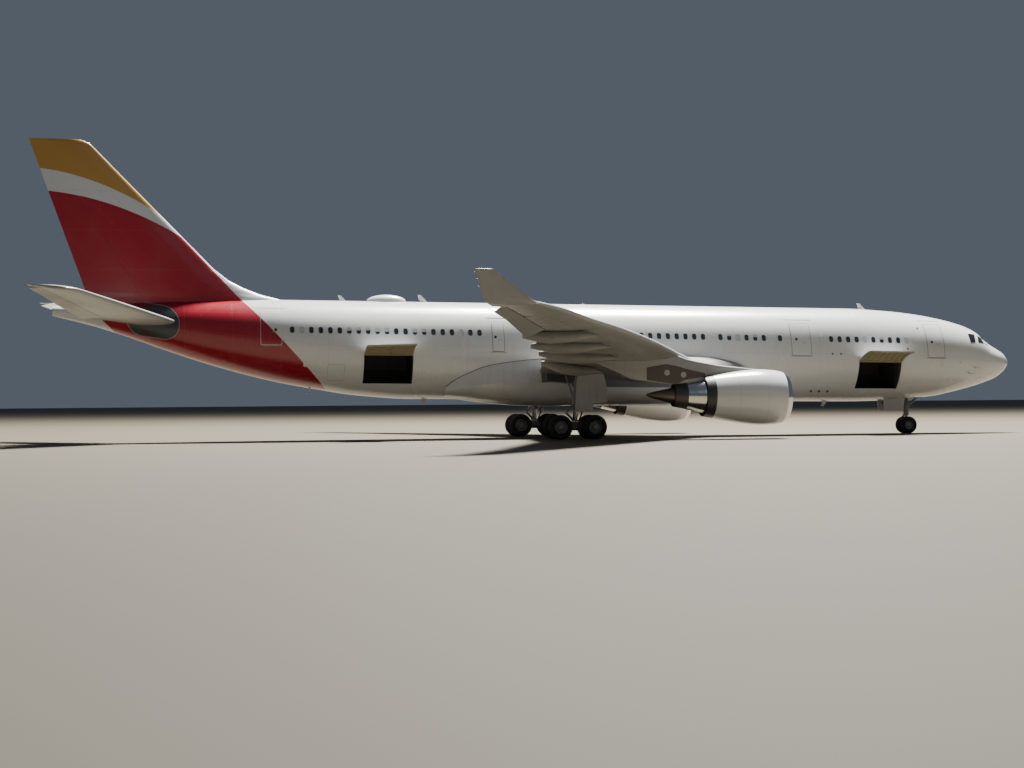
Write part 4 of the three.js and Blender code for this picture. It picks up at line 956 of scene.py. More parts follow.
def cut_panel(onto, rows, surfaces, start, stop, count):
    """A flying surface with notches for its hinged pieces. Each end of a notch has two rings at one place,
    one as long as the chord and one that stops at the hinge."""
    places = [(float(place), None) for place in np.linspace(start, stop, count)]
    for surface in surfaces:
        inner, outer = surface[:2]
        places = [(place, surface if inner < place < outer else kind) for place, kind in places]
        places += [(inner, None), (inner + 1e-6, surface), (outer - 1e-6, surface), (outer, None)]
    places.sort(key=lambda row: row[0])
    spans = np.array([place for place, _ in places])
    rear = np.array([hinge_share(rows, kind, place) if kind else 1.0 for place, kind in places])
    return foil_loft(onto, rows, spans, 0, rear)


def hinged_panel(onto, rows, surface, count):
    """One hinged piece, from just behind its hinge line to the trailing edge."""
    inner, outer, _, droop = surface
    gap = SURFACE_GAP if droop else 0.0008
    spans = np.linspace(inner + SURFACE_END, outer - SURFACE_END, count)
    ahead, back = edges(rows, spans)
    front = hinge_share(rows, surface, spans) + gap / (back - ahead)
    return foil_loft(onto, rows, spans, front, 1, 20)


def hinge_line(onto, rows, surface):
    """The two ends of a surface's hinge, on the lower skin."""
    ends = np.array(surface[:2], float)
    return onto(ends, hinge_share(rows, surface, ends), -1)


LUGS, LUG_RADIUS, LUG_LENGTH = 3, 0.03, 0.16


def lugs(line):
    """Brackets that carry a drooped surface, across its hinge line."""
    along = line[1] - line[0]
    aft = np.array([-abs(along[1]), np.sign(along[1]) * along[0], 0])
    aft /= np.linalg.norm(aft)
    feet = line[0] + along * (np.arange(LUGS) + 0.5)[:, None] / LUGS + [0, 0, 2 * LUG_RADIUS]
    reach = aft * np.linspace(0.002, LUG_LENGTH, 3)[:, None]
    return [tube(foot + reach, LUG_RADIUS * 0.95, 10) for foot in feet]


def droop_model(line, degrees, hand):
    """The swing of a drooped surface: turned about its hinge at the model's scale."""
    start, stop = (line + [NOSE_X, 0, 0]) * MODEL_SCALE
    return (start, stop - start, -hand * degrees)


for hand, side in HANDS:
    onto = level_map(WING, FOIL, hand)
    sheets = [cut_panel(onto, WING, list(WING_SURFACES.values()), 1.6, 29.2, 120)]
    # Slats: five lengths laid over the leading edge, a hair proud of the skin.
    for inner, outer in SLATS:
        skin = lambda span, share, face: onto(span, share, face, SLAT_PROUD)
        spans = np.linspace(inner, outer, 16)
        sheets.append(foil_loft(skin, WING, spans, 0, SLAT_SHARE, 14, slot=1))
    # Access plates of the tanks, in two rows.
    for share, first, last in PLATE_ROWS:
        middles = np.arange(first, last, PLATE_PITCH)
        ahead, back = edges(WING, middles)
        size = (back - ahead)[:, None, None]
        spread = lambda u, v: (middles[:, None, None] + u, share + v / size + 0 * u)
        lower = lambda span, share, proud: onto(span, share, -1, proud)
        rings = [(0, 0.0), (0.002, 0.006), (0.02, 0.006), (0.025, 0.003)]
        sheets.append(patches(lower, spread, np.tile(PLATE_HALF, (len(middles), 1)), 0.13, rings, (2,), 24,
                              (0,)))
    piece(f"wing_{side}_panel", sheets, [wing_grey, slat_metal, plate_grey], f"wing_{side}")

# Flaps and ailerons
# Each surface is a light box with a sharp trailing edge. The flaps are run in flush with the wing, and the
# ailerons hang down, as they do with the hydraulics off, each on its brackets.
AILERON_JACKS = (22.2, 25.4)

bracket_dark = finish("bracket_dark", (0.12, 0.12, 0.12), 0.5, metallic=0.5, amount=0.4)

for hand, side in HANDS:
    onto = level_map(WING, FOIL, hand)
    for name, surface in WING_SURFACES.items():
        sheets = [hinged_panel(onto, WING, surface, 60)]
        line = hinge_line(onto, WING, surface)
        droop = surface[3]
        swing = droop_model(line, droop, hand) if droop else None
        piece(f"{name}_{side}_skin", sheets, [wing_grey], f"{name}_{side}", swing=swing)
        if droop:
            fittings = lugs(line)
            spans = np.linspace(surface[0] + SURFACE_END, surface[1] - SURFACE_END, 40)
            strip = onto(spans, hinge_share(WING, surface, spans), -1)
            fittings.append(tube(strip, 0.03, 8))
            # Fairings of the two jacks that move it, ahead of the hinge line on the lower skin.
            for place in AILERON_JACKS:
                jack = onto(place, np.linspace(0.59, 0.72, 9), -1)
                fittings.append(tube(jack, [0.004, 0.03, 0.06, 0.075, 0.08, 0.08, 0.075, 0.06, 0.05], 14,
                                     slot=1))
                fittings.append(tube(jack[-2:] + (jack[-1] - jack[-2]) * 0.6, [0.062, 0.075], 14))
            piece(f"{name}_{side}_brackets", fittings, [bracket_dark, wing_grey])

# Winglets
# A winglet stands on each wing tip: a thin foil that turns up out of the tip's own and leans outwards, with
# a navigation lamp under glass at its foot.
# Columns: way along the curve, side, leading edge station and height, trailing edge station and height,
# thickness, angle of the upper side.
WINGLET = [
    [0, 29.2, 36.3, 6.49, 38.42, 6.42, 0.25, 1.571],
    [0.28, 29.46, 36.55, 6.62, 38.62, 6.58, 0.17, 1.1],
    [0.59, 29.62, 36.92, 6.88, 38.76, 6.84, 0.13, 0.55],
    [1.1, 29.86, 37.63, 7.37, 38.95, 7.36, 0.09, 0.48],
    [1.6, 30.09, 38.32, 7.84, 39.12, 7.85, 0.062, 0.48],
    [1.64, 30.11, 38.4, 7.88, 39.13, 7.89, 0.03, 0.48],
]
lamp_glass = finish("lamp_glass", (0.5, 0.52, 0.52), 0.08, coat=0.6, amount=0.02)

for hand, side in HANDS:
    steps = np.linspace(0, 1, 20) ** 2
    steps = np.concatenate([steps[::-1], steps[1:]])
    face = np.where(np.arange(39) < 20, 1, -1)
    place, front, low, back, high, thick, lean = smooth(WINGLET, np.linspace(0, 1.64, 40)[:, None])
    rise = thick * off_chord(FOIL, steps, face)
    height = low + steps * (high - low) + rise * np.sin(lean)
    skin = point(front + steps * (back - front), hand * (place - rise * np.cos(lean)), height)
    skins = [sheet(skin, around=True, ends="ab")]
    glass = lambda span, share, face: level_map(WING, FOIL, hand)(span, share, face, 0.012)
    spans = np.linspace(28.85, 29.18, 8)
    skins.append(foil_loft(glass, WING, spans, 0, 0.1, 12, slot=1))
    piece(f"winglet_{side}_panel", skins, [wing_grey, lamp_glass], f"winglet_{side}")

# Flap track fairings
# Four canoes under each wing cover the tracks that the flaps run out on. They are composite shells, split
# where the rear half drops with the flap, and each ends in a blunt upright edge.
# Columns: side, nose and tail station, lower and upper height of the tail.
TRACK_FAIRINGS = [
    (6.95, 27.6, 31.12, 4.04, 4.34),
    (11.6, 27.9, 32.28, 4.48, 4.72),
    (16.0, 29.5, 33.67, 4.76, 4.98),
    (20.55, 31.3, 35.07, 5.08, 5.38),
]
# Columns: share of the canoe's length, share of the depth, share of the width.
CANOE = [[0, 0.12, 0.1], [0.15, 0.55, 0.62], [0.4, 0.95, 1], [0.65, 1, 1], [0.88, 0.7, 0.62], [1, 0.38, 0.16]]
CANOE_DEPTH, CANOE_HALF = 0.62, 0.27
CANOE_SPLIT = 0.62

for hand, side in HANDS:
    for number, (place, start, stop, low, high) in enumerate(TRACK_FAIRINGS, 1):
        # One ring is pinched, at the split line.
        share = np.sort(np.append(np.linspace(0, 1, 44),
                                  [CANOE_SPLIT - 0.004, CANOE_SPLIT, CANOE_SPLIT + 0.004]))
        depth, width = smooth(CANOE, share)
        pinch = np.where(np.abs(share - CANOE_SPLIT) < 1e-9, 0.94, 1.0)
        _, front_z, _, back_z, thick = smooth(WING, place)
        nose = (front_z + back_z) / 2 - 0.3 * thick
        keel = (nose - 0.3) + ((low + high) / 2 - nose + 0.3) * share ** 1.6
        half = CANOE_DEPTH * depth / 2
        turn, station = turns(28), (start + (stop - start) * share)[:, None]
        across = hand * place + (CANOE_HALF * width * pinch)[:, None] * np.cos(turn)
        height = (keel + half * (1 - depth))[:, None] + (half * pinch)[:, None] * np.sin(turn)
        grid = point(station, across, height)
        title = f"flap_track_fairing_{number}_{side}"
        piece(title + "_shell", [sheet(grid, around=True, ends="ab")], [plate_grey], title)

# Fin and rudder
# The fin stands on the rear fuselage with a long fillet ahead of it, and the rudder fills its trailing edge.
# Crimson covers the lower part, then a pale band and gold above, each bounded by a curve that climbs aft.
# Columns: height over the axis, leading edge station, 0, trailing edge station, 0, thickness.
FIN = [
    [1.9, 43.6, 0, 55.3, 0, 1.0],
    [2.82, 44.8, 0, 55.64, 0, 0.94],
    [3.1, 46.0, 0, 55.75, 0, 0.9],
    [3.45, 46.95, 0, 55.88, 0, 0.87],
    [3.85, 47.75, 0, 56.02, 0, 0.84],
    [4.51, 48.62, 0, 56.26, 0, 0.8],
    [11.45, 55.47, 0, 58.75, 0, 0.3],
    [11.6, 55.8, 0, 58.8, 0, 0.26],
    [11.67, 56.0, 0, 58.82, 0, 0.2],
]
RUDDER = ((52.75, 3.05), (57.95, 11.3))
# Borders on the fin, as heights over the axis: constants of a, b and c in a·t² + b·t + c, t metres aft of 54.
GOLD_BORDER = (-0.0388, 0.4459, 8.8185)
CRIMSON_BORDER = (-0.0333, 0.3398, 7.9321)

fin_paint = finish("fin_paint", WHITE, 0.3, coat=0.3, amount=0.12, along=2.2, across=1.6, paint=livery)


def fin_map(over, share, face, proud=0.0):
    """Points of the fin by height over the axis, share of the chord, and side: 1 port, -1 starboard."""
    station, _, rise = foil(FIN, EVEN_FOIL, over, share, face)
    lead, trail = edges(FIN, over)
    height = axis_height(lead) + share * (axis_height(trail) - axis_height(lead)) + over
    return point(station, rise + proud * np.sign(face), height)


def fin_marks(part):
    """Adds the livery's marks to a sheet of the fin."""
    station = -part["points"][:, 0]
    over = part["points"][:, 2] - axis_height(station)
    aft = station - 54
    crimson_top, gold_foot = np.polyval(CRIMSON_BORDER, aft), np.polyval(GOLD_BORDER, np.maximum(aft, -2.5))
    start = station - CRIMSON_START - CRIMSON_LEAN * over
    part["marks"] = {
        "crimson_edge": np.minimum(start, crimson_top - over), "gold_edge": over - gold_foot,
        "pale_edge": station * 0 + 1,
    }
    return part


def rudder_share(over):
    """Share of the fin's chord where the rudder's hinge line crosses."""
    (foot_station, foot_over), (top_station, top_over) = RUDDER
    line = foot_station + (top_station - foot_station) * (over - foot_over) / (top_over - foot_over)
    front, back = edges(FIN, over)
    return (line - front) / (back - front)


foot_over, top_over = RUDDER[0][1], RUDDER[1][1]
notch = [foot_over - 1e-6, foot_over, top_over, top_over + 1e-6]
overs = np.sort(np.concatenate([np.linspace(1.9, 11.67, 120), notch]))
within = (overs >= foot_over) & (overs <= top_over)
rear = np.where(within, rudder_share(overs), 1)
sheets = [fin_marks(foil_loft(fin_map, FIN, overs, 0, rear, 40))]
piece("fin_panel", sheets, [fin_paint], "fin")

overs = np.linspace(foot_over + 0.001, top_over - 0.001, 90)
front = rudder_share(overs) + 0.0002
sheets = [fin_marks(foil_loft(fin_map, FIN, overs, front, 1, 24))]
piece("rudder_panel", sheets, [fin_paint], "rudder")

# Tailplanes
# The tailplane halves enter the hull through sealed openings, as the whole of it tilts for trim. Each carries
# an elevator that droops when the hydraulics are off. An oval plate of dark metal seals the opening.
TAILPLANE = [
    [0.5, 50.2, 6.6, 55.35, 6.98, 0.56],
    [1.7, 51.0, 6.82, 55.9, 7.14, 0.52],
    [9.3, 56.0, 8.12, 58.52, 8.32, 0.24],
    [9.55, 56.32, 8.16, 58.6, 8.35, 0.21],
    [9.7, 56.6, 8.18, 58.65, 8.37, 0.12],
]
ELEVATOR = (1.95, 9.32, 0.76, 14)
SEAL_PLATE, SEAL_HALF = (52.1, 1.5), (1.47, 0.97)

tail_grey = finish("tail_grey", (0.33, 0.33, 0.32), 0.35, coat=0.15, grime=(0.17, 0.15, 0.12), amount=0.35,
                   along=1.6, across=0.7)
seal_metal = finish("seal_metal", (0.07, 0.08, 0.085), 0.35, metallic=0.5, amount=0.4)

for hand, side in HANDS:
    onto = level_map(TAILPLANE, EVEN_FOIL, hand)
    sheets = [cut_panel(onto, TAILPLANE, [ELEVATOR], 0.5, 9.7, 60)]
    skin = lambda span, share, face: onto(span, share, face, 0.006)
    spans = np.linspace(2.0, 9.4, 24)
    sheets.append(foil_loft(skin, TAILPLANE, spans, 0, 0.07, 12, slot=1))
    piece(f"tailplane_{side}_panel", sheets, [tail_grey, slat_metal], f"tailplane_{side}")
    line = hinge_line(onto, TAILPLANE, ELEVATOR)
    sheets = [hinged_panel(onto, TAILPLANE, ELEVATOR, 40)]
    swing = droop_model(line, ELEVATOR[3], hand)
    piece(f"elevator_{side}_skin", sheets, [tail_grey], f"elevator_{side}", swing=swing)
    piece(f"elevator_{side}_brackets", lugs(line), [bracket_dark])
    spread = lambda u, v: (SEAL_PLATE[0] + u + 0 * v, SEAL_PLATE[1] + v + 0.15 * u)
    rings = [(0, 0.001), (0, 0.01), (0.03, 0.01), (0.034, 0.006)]
    plate = patches(hull_side(hand), spread, SEAL_HALF, 0.9, rings, (1, 1, 1, 0), 64, (0.9, 0.7) + FULL_CURVE)
    piece(f"tailplane_seal_{side}", [plate], [seal_metal, slat_metal])

# Pylons
# A pylon hangs each engine from the wing box. It has a rounded nose over the cowl, flat sides with a band of
# bare heat resistant alloy beside the hot core, two hatches, and a thin tail under the wing.
# Columns: station, bottom, top, half width.
PYLON = [
    [19.1, 3.68, 3.74, 0.02],
    [19.6, 3.62, 3.84, 0.15],
    [20.4, 3.5, 3.93, 0.22],
    [21.6, 3.3, 4.06, 0.235],
    [22.4, 3.0, 4.2, 0.24],
    [23.4, 3.01, 4.4, 0.24],
    [24.4, 3.03, 4.69, 0.24],
    [25.8, 3.18, 4.7, 0.23],
    [26.6, 3.3, 4.7, 0.2],
    [27.35, 3.65, 4.7, 0.15],
    [28.6, 4.2, 4.68, 0.05],
]
ENGINE_SIDE, ENGINE_STATION, ENGINE_HEIGHT, ENGINE_TILT = 9.37, 19, 2.29, np.radians(1.35)
# Edges of the alloy band: columns are station, lower and upper height.
PYLON_BAND = [[22.5, 3.44, 3.62], [23.68, 3.26, 3.89], [24.1, 3.04, 4.02], [24.73, 3.1, 4.13],
              [25.82, 3.26, 3.95]]

# A mid grey for the pylon's white: painted shade of the wing above it.
pylon_white_painted_shade = finish("pylon_white_painted_shade", (0.38, 0.38, 0.37), 0.35, coat=0.2, grime=(0.16, 0.13, 0.1), amount=0.45,
                     along=1.4, across=9)
alloy_bronze = finish("alloy_bronze", (0.13, 0.11, 0.095), 0.45, metallic=0.6, grime=(0.06, 0.05, 0.04),
                      amount=0.5)
hatch_pale = finish("hatch_pale", (0.42, 0.42, 0.4), 0.35, amount=0.3)


def read_straight(table, at):
    """The second and third column of a table at new values of its first, straight from row to row."""
    table = np.array(table)
    return [np.interp(at, table[:, 0], table[:, column]) for column in (1, 2)]


for hand, side in HANDS:
    along = np.linspace(19.1, 28.6, 70)[:, None]
    low, high, half = smooth(PYLON, along)
    turn = turns(40)
    across = hand * ENGINE_SIDE + half * signed_power(np.cos(turn), 0.4)
    height = (low + high) / 2 + (high - low) / 2 * signed_power(np.sin(turn), 0.4)
    uv = paired(along, np.ones(41))
    sheets = [sheet(point(along, across, height), around=True, ends="ab", uv=uv)]
    for face in (-1, 1):
        flank = lambda station, height, proud: point(
            station, hand * ENGINE_SIDE + face * (smooth(PYLON, station)[2] + proud), height)

        def band(u, v):
            station = PYLON_BAND[0][0] + (1 + u) / 2 * (PYLON_BAND[-1][0] - PYLON_BAND[0][0])
            lower, upper = read_straight(PYLON_BAND, station)
            return station, lower + (1 + v) / 2 * (upper - lower)
        rings = [(0, -0.02), (0, 0.006), (0.01, 0.008)]
        sheets.append(patches(flank, band, (1, 1), 0.06, rings, (1,), 96, (0.8, 0.5, 0)))
        hatches = from_middle([(24.67, 3.66), (23.77, 3.58)])
        rings = [(0, 0.0), (0, 0.014), (0.012, 0.014), (0.016, 0.011)]
        sheets.append(patches(flank, hatches, [(0.157, 0.157), (0.12, 0.12)], 0.157, rings, (2,), 28, (0,)))
    piece(f"pylon_{side}_shell", sheets, [pylon_white_painted_shade, alloy_bronze, hatch_pale], f"pylon_{side}")

# Fan cowls
# Each cowl is a composite barrel with a lip of polished aluminium, an inner wall of perforated panels and a
# dark nozzle ring behind. Hinged doors meet along its crown and keel.
# Columns: distance aft, radius, and the slot of the skin from there on.
COWL = [
    [3.6, 1.12, 3],
    [3.1, 1.2, 0],
    [2.2, 1.35, 0],
    [1.2, 1.48, 0],
    [0.3, 1.53, 0],
    [-0.4, 1.5, 0],
    [-0.9, 1.42, 1],
    [-1.12, 1.33, 1],
    [-1.2, 1.25, 1],
    [-1.1, 1.175, 1],
    [-0.75, 1.18, 2],
    [-0.25, 1.25, 2],
    [1.7, 1.25, 2],
    [2.6, 1.2, 3],
    [3.6, 1.095, 3],
]
COWL_JOINT, COWL_DOOR = 0.26, 1.58

cowl_white = finish("cowl_white", WHITE, 0.22, coat=0.5, amount=0.1, along=COWL_DOOR, across=4, line=0.016)
lip_polish = finish("lip_polish", (0.78, 0.78, 0.78), 0.12, metallic=1, amount=0.1, grain=0)
liner_grey = finish("liner_grey", (0.2, 0.205, 0.21), 0.5, amount=0.3, grain=0.3)
nozzle_dark = finish("nozzle_dark", (0.05, 0.05, 0.054), 0.4, metallic=0.4, amount=0.3)


def traced(profile, steps):
    """A smooth curve through the rows of a profile, with a number of even steps between each two of them."""
    profile = np.asarray(profile, float)
    way = np.concatenate([[0], np.cumsum(np.linalg.norm(np.diff(profile, axis=0), axis=1))])
    knots = np.arange((len(profile) - 1) * steps + 1) / steps
    return smooth(np.column_stack([way, profile]), np.interp(knots, np.arange(len(profile)), way)).T


def lathe(profile, place, around=48, slot=0, closed=False, ends="", uv=None):
    """A profile of distance along and radius, turned about an axis: radius·cos and radius·sin of the angle."""
    turn = turns(around)
    along, radius = np.asarray(profile)[:, 0, None], np.asarray(profile)[:, 1, None]
    grid = place(along, radius * np.cos(turn), radius * np.sin(turn))
    return sheet(grid, around=True, closed=closed, ends=ends, slot=slot, uv=uv)


def cowl_map(profile, around, joint):
    """Panels map of a cowl: metres aft of its first joint, and a girth with its joints on crown and keel."""
    girth = 8 * np.abs((np.arange(around + 1) / around + 0.25) % 1 - 0.5)
    return paired(np.append(profile[:, 0], profile[0, 0])[:, None] - joint, girth)


def engine_place(hand):
    """Points by distance aft, to port and up from the middle of the fan, along the engine's tilted axis."""
    tilt_cos, tilt_sin = np.cos(ENGINE_TILT), np.sin(ENGINE_TILT)
    return lambda aft, across, up: point(
        ENGINE_STATION + aft * tilt_cos - up * tilt_sin, hand * ENGINE_SIDE + across,
        ENGINE_HEIGHT + aft * tilt_sin + up * tilt_cos)


for hand, side in HANDS:
    profile = traced([row[:2] for row in COWL], 9)
    slots = np.append(np.repeat([row[2] for row in COWL[:-1]], 9), 3)[:, None]
    sheets = [lathe(profile, engine_place(hand), 96, slots, True, uv=cowl_map(profile, 96, COWL_JOINT))]
    finishes = [cowl_white, lip_polish, liner_grey, nozzle_dark]
    piece(f"fan_cowl_{side}_shell", sheets, finishes, f"fan_cowl_{side}")

# Fans
# Each fan has 24 titanium blades, twisted from root to tip, in a disc behind a dark spinner with a pale swirl
# that shows that it turns.
FAN_BLADES, BLADE_FEET, BLADE_TIP, BLADE_CHORD, BLADE_THICKNESS = 24, 0.34, 1.205, 0.34, 0.026
SPINNER = [[-0.72, 0.002], [-0.66, 0.1], [-0.3, 0.3], [0, 0.4], [0.22, 0.42]]

blade_titanium = finish("blade_titanium", (0.32, 0.33, 0.35), 0.28, metallic=0.95, amount=0.2)
spinner_black = finish("spinner_black", (0.03, 0.03, 0.033), 0.3, coat=0.4, amount=0.15)
swirl_white = finish("swirl_white", (0.75, 0.75, 0.75), 0.4, amount=0.1)


def blade_grid(pitch, radius, aft, chord_length, thickness, columns=14):
    """Rings of a blade from foot to tip in its own axes: distance aft, round and out. The chord leans from
    the axis by the pitch, axial = a·cos p − t·sin p, round = a·sin p + t·cos p, and the face is a lens."""
    turn = turns(columns)
    a, t = chord_length / 2 * np.cos(turn), thickness / 2 * np.sin(turn)
    pitch, radius = pitch[:, None], radius[:, None]
    return aft + a * np.cos(pitch) - t * np.sin(pitch), a * np.sin(pitch) + t * np.cos(pitch), radius


def blade_ring(place, count, blade):
    """The blades of a disc, at even steps round it: each is blade_grid's rings wound on the axis."""
    aft, round_way, radius = blade
    angles = [start + round_way / radius for start in turns(count)]
    rings = [place(aft, radius * np.cos(angle), radius * np.sin(angle)) for angle in angles]
    return [sheet(ring, around=True, ends="ab") for ring in rings]


for hand, side in HANDS:
    place = engine_place(hand)
    share = np.linspace(0, 1, 10)
    blade = blade_grid(0.45 + 0.6 * share, BLADE_FEET + (BLADE_TIP - BLADE_FEET) * share,
                       0.03, BLADE_CHORD, BLADE_THICKNESS)
    sheets = [lathe(traced(SPINNER, 8), place, 48, 1, ends="ab")] + blade_ring(place, FAN_BLADES, blade)
    # The swirl: a ribbon on the spinner that winds half a turn as it widens.
    way = np.linspace(0.1, 0.8, 30)[:, None]
    spiral = -0.62 + 0.5 * way + 0 * np.array([[0, 1]])
    reach = np.interp(spiral, *np.array(SPINNER).T) + 0.006
    angle = np.pi * way + np.array([[0, 0.9]]) * (1 - way) ** 0.5 * way
    ribbon = place(spiral, reach * np.cos(angle), reach * np.sin(angle))
    sheets.append(sheet(ribbon, slot=2,
                        facing=place(spiral - 5, 0 * reach, 0 * reach)[:-1, :-1] - ribbon[:-1, :-1]))
    piece(f"fan_{side}_blades", sheets, [blade_titanium, spinner_black, swirl_white], f"fan_{side}",
          body=f"fan_wheel_{side}")

# Engine cores
# Behind the fan the core's casing parts the cold air from the hot. Vanes hold it in the duct, and it ends in
# a plug of heat stained alloy inside the nozzle.
CORE = [
    [0.24, 0.42], [0.8, 0.66], [1.6, 0.78], [2.3, 0.848], [3.7, 0.846], [4.1, 0.52], [5.0, 0.47],
    [6.0, 0.28], [6.75, 0.06], [6.8, 0.004],
]
OUTLET_VANES, VANE_AFT = 36, 1.35

casing_grey = finish("casing_grey", (0.28, 0.28, 0.28), 0.4, metallic=0.6, amount=0.3)
plug_alloy = finish("plug_alloy", (0.16, 0.13, 0.11), 0.4, metallic=0.9, grime=(0.05, 0.04, 0.035),
                    amount=0.6)

for hand, side in HANDS:
    place = engine_place(hand)
    slots = np.repeat([0, 0, 0, 0, 1, 1, 1, 1, 1], 8)[:, None]
    sheets = [lathe(traced(CORE, 8), place, 64, slots, ends="ab")]
    vane = blade_grid(np.zeros(4), np.linspace(0.62, 1.245, 4), VANE_AFT, 0.42, 0.03, 12)
    sheets += blade_ring(place, OUTLET_VANES, vane)
    piece(f"engine_core_{side}_casing", sheets, [casing_grey, plug_alloy], f"engine_core_{side}")

# Core cowls
# The cowl round the hot section is polished metal in two hinged halves, and narrows to the exhaust.
CORE_COWL = [[2.35, 0.852], [2.75, 0.94], [3.5, 0.94], [3.9, 0.88], [4.58, 0.74], [4.58, 0.69], [3.9, 0.83],
             [3.72, 0.852]]
polished = finish("polished_cowl", (0.62, 0.61, 0.6), 0.18, metallic=1, grime=(0.2, 0.16, 0.12), amount=0.35,
                  grain=0, along=1.05, across=4)

for hand, side in HANDS:
    profile = np.concatenate([traced(CORE_COWL[:5], 8), traced(CORE_COWL[5:], 6)])
    sheets = [lathe(profile, engine_place(hand), 64, 0, True, uv=cowl_map(profile, 64, 2.7))]
    piece(f"core_cowl_{side}_shell", sheets, [polished], f"core_cowl_{side}")

# Exhaust nozzles
# A short nozzle of dark alloy is bolted to the rear of the core cowl, round the plug.
NOZZLE = [[4.582, 0.73], [4.95, 0.67], [5.28, 0.62], [5.28, 0.59], [4.95, 0.64], [4.582, 0.695]]
NOZZLE_BOLTS, BOLT_AFT = 32, 4.64

nozzle_alloy = finish("nozzle_alloy", (0.1, 0.09, 0.085), 0.45, metallic=0.85, grime=(0.04, 0.035, 0.03),
                      amount=0.5)

for hand, side in HANDS:
    profile = np.concatenate([traced(NOZZLE[:3], 8), traced(NOZZLE[3:], 8)])
    sheets = [lathe(profile, engine_place(hand), 64, 0, True)]
    for angle in turns(NOZZLE_BOLTS):
        reach = np.linspace(0.7, 0.727, 3)
        bolt = engine_place(hand)(BOLT_AFT, reach * np.cos(angle), reach * np.sin(angle))
        sheets.append(tube(bolt, 0.014, 6))
    piece(f"exhaust_nozzle_{side}_shell", sheets, [nozzle_alloy], f"exhaust_nozzle_{side}")

# Main landing gear
# Each leg is a forged steel cylinder painted light grey with a chromed piston, braced forward and inward by
# stays. Torque links stop the piston from turning, and brake hoses are clipped along them. The gear's grey and
# its chromed metal are coloured much darker than they are, as painted shade.
GEAR_SIDE, GEAR_STATION, BOGIE = 5.34, 28.85, (27.86, 29.84)
AXLE_HEIGHT, LEG_RADIUS, LEG_LEAN = 0.69, 0.25, 0.11

# Dark grey and dull dark metal in place of light grey and bright chromed metal: painted shade, over the grime.
gear_grey_painted_shade = finish("gear_grey_painted_shade", (0.17, 0.175, 0.18), 0.35, coat=0.2, grime=(0.07, 0.06, 0.05), amount=0.6,
                   grain=0.1)
chrome_painted_shade = finish("chrome_painted_shade", (0.3, 0.3, 0.3), 0.18, metallic=1, amount=0.5, grain=0)
hose_black = finish("hose_black", (0.03, 0.03, 0.03), 0.6, amount=0.2)
# Near black: painted shade of the open gear bays, and soot in the tail exhaust's pipe.
bay_painted_shade_and_soot = finish("bay_painted_shade_and_soot", (0.07, 0.072, 0.07), 0.6, grime=(0.02, 0.02, 0.02), amount=0.6)


def gear_point(hand):
    """Points by distance aft of the leg, inward of it and up from the ground."""
    return lambda aft, inward, height: point(GEAR_STATION + aft, hand * (GEAR_SIDE - inward), height)


def leg_point(hand):
    """The same, but leaning forward with the leg from its foot up."""
    at = gear_point(hand)
    return lambda aft, inward, height: at(aft + (1 - height) * LEG_LEAN, inward, height)


def strut(start, stop, radius, sides=20, slot=0, collars=()):
    """A round bar between two points, with raised collars at shares of its length."""
    start, stop = np.asarray(start, float), np.asarray(stop, float)
    length = np.linalg.norm(stop - start)
    share, size = [0.0, 1.0], [radius, radius]
    for collar in collars:
        for shift, grown in ((-0.035, 1), (-0.034, 1.22), (0.034, 1.22), (0.035, 1)):
            share.append(np.clip(collar + shift / length, 0.001, 0.999))
            size.append(radius * grown)
    order = np.argsort(share, kind="stable")
    path = start + (stop - start) * np.array(share)[order, None]
    return tube(path, np.array(size)[order], sides, slot=slot)


def flat_link(at, feet, widths, half, slot=0):
    """A forged link that narrows: a flat bar between two points (aft, height), with a width across at each
    end and a half thickness."""
    (a0, z0), (a1, z1) = feet
    along = np.array([a1 - a0, z1 - z0]) / np.hypot(a1 - a0, z1 - z0)
    across = np.array([-along[1], along[0]]) * half
    rings = []
    for (aft, height), width in zip(feet, widths):
        corner = np.array([[1, 1], [1, -1], [-1, -1], [-1, 1]])
        rings.append(at(aft + across[0] * corner[:, 0], width / 2 * corner[:, 1],
                        height + across[1] * corner[:, 0]))
    return sheet(np.stack(rings), around=True, ends="ab", slot=slot)


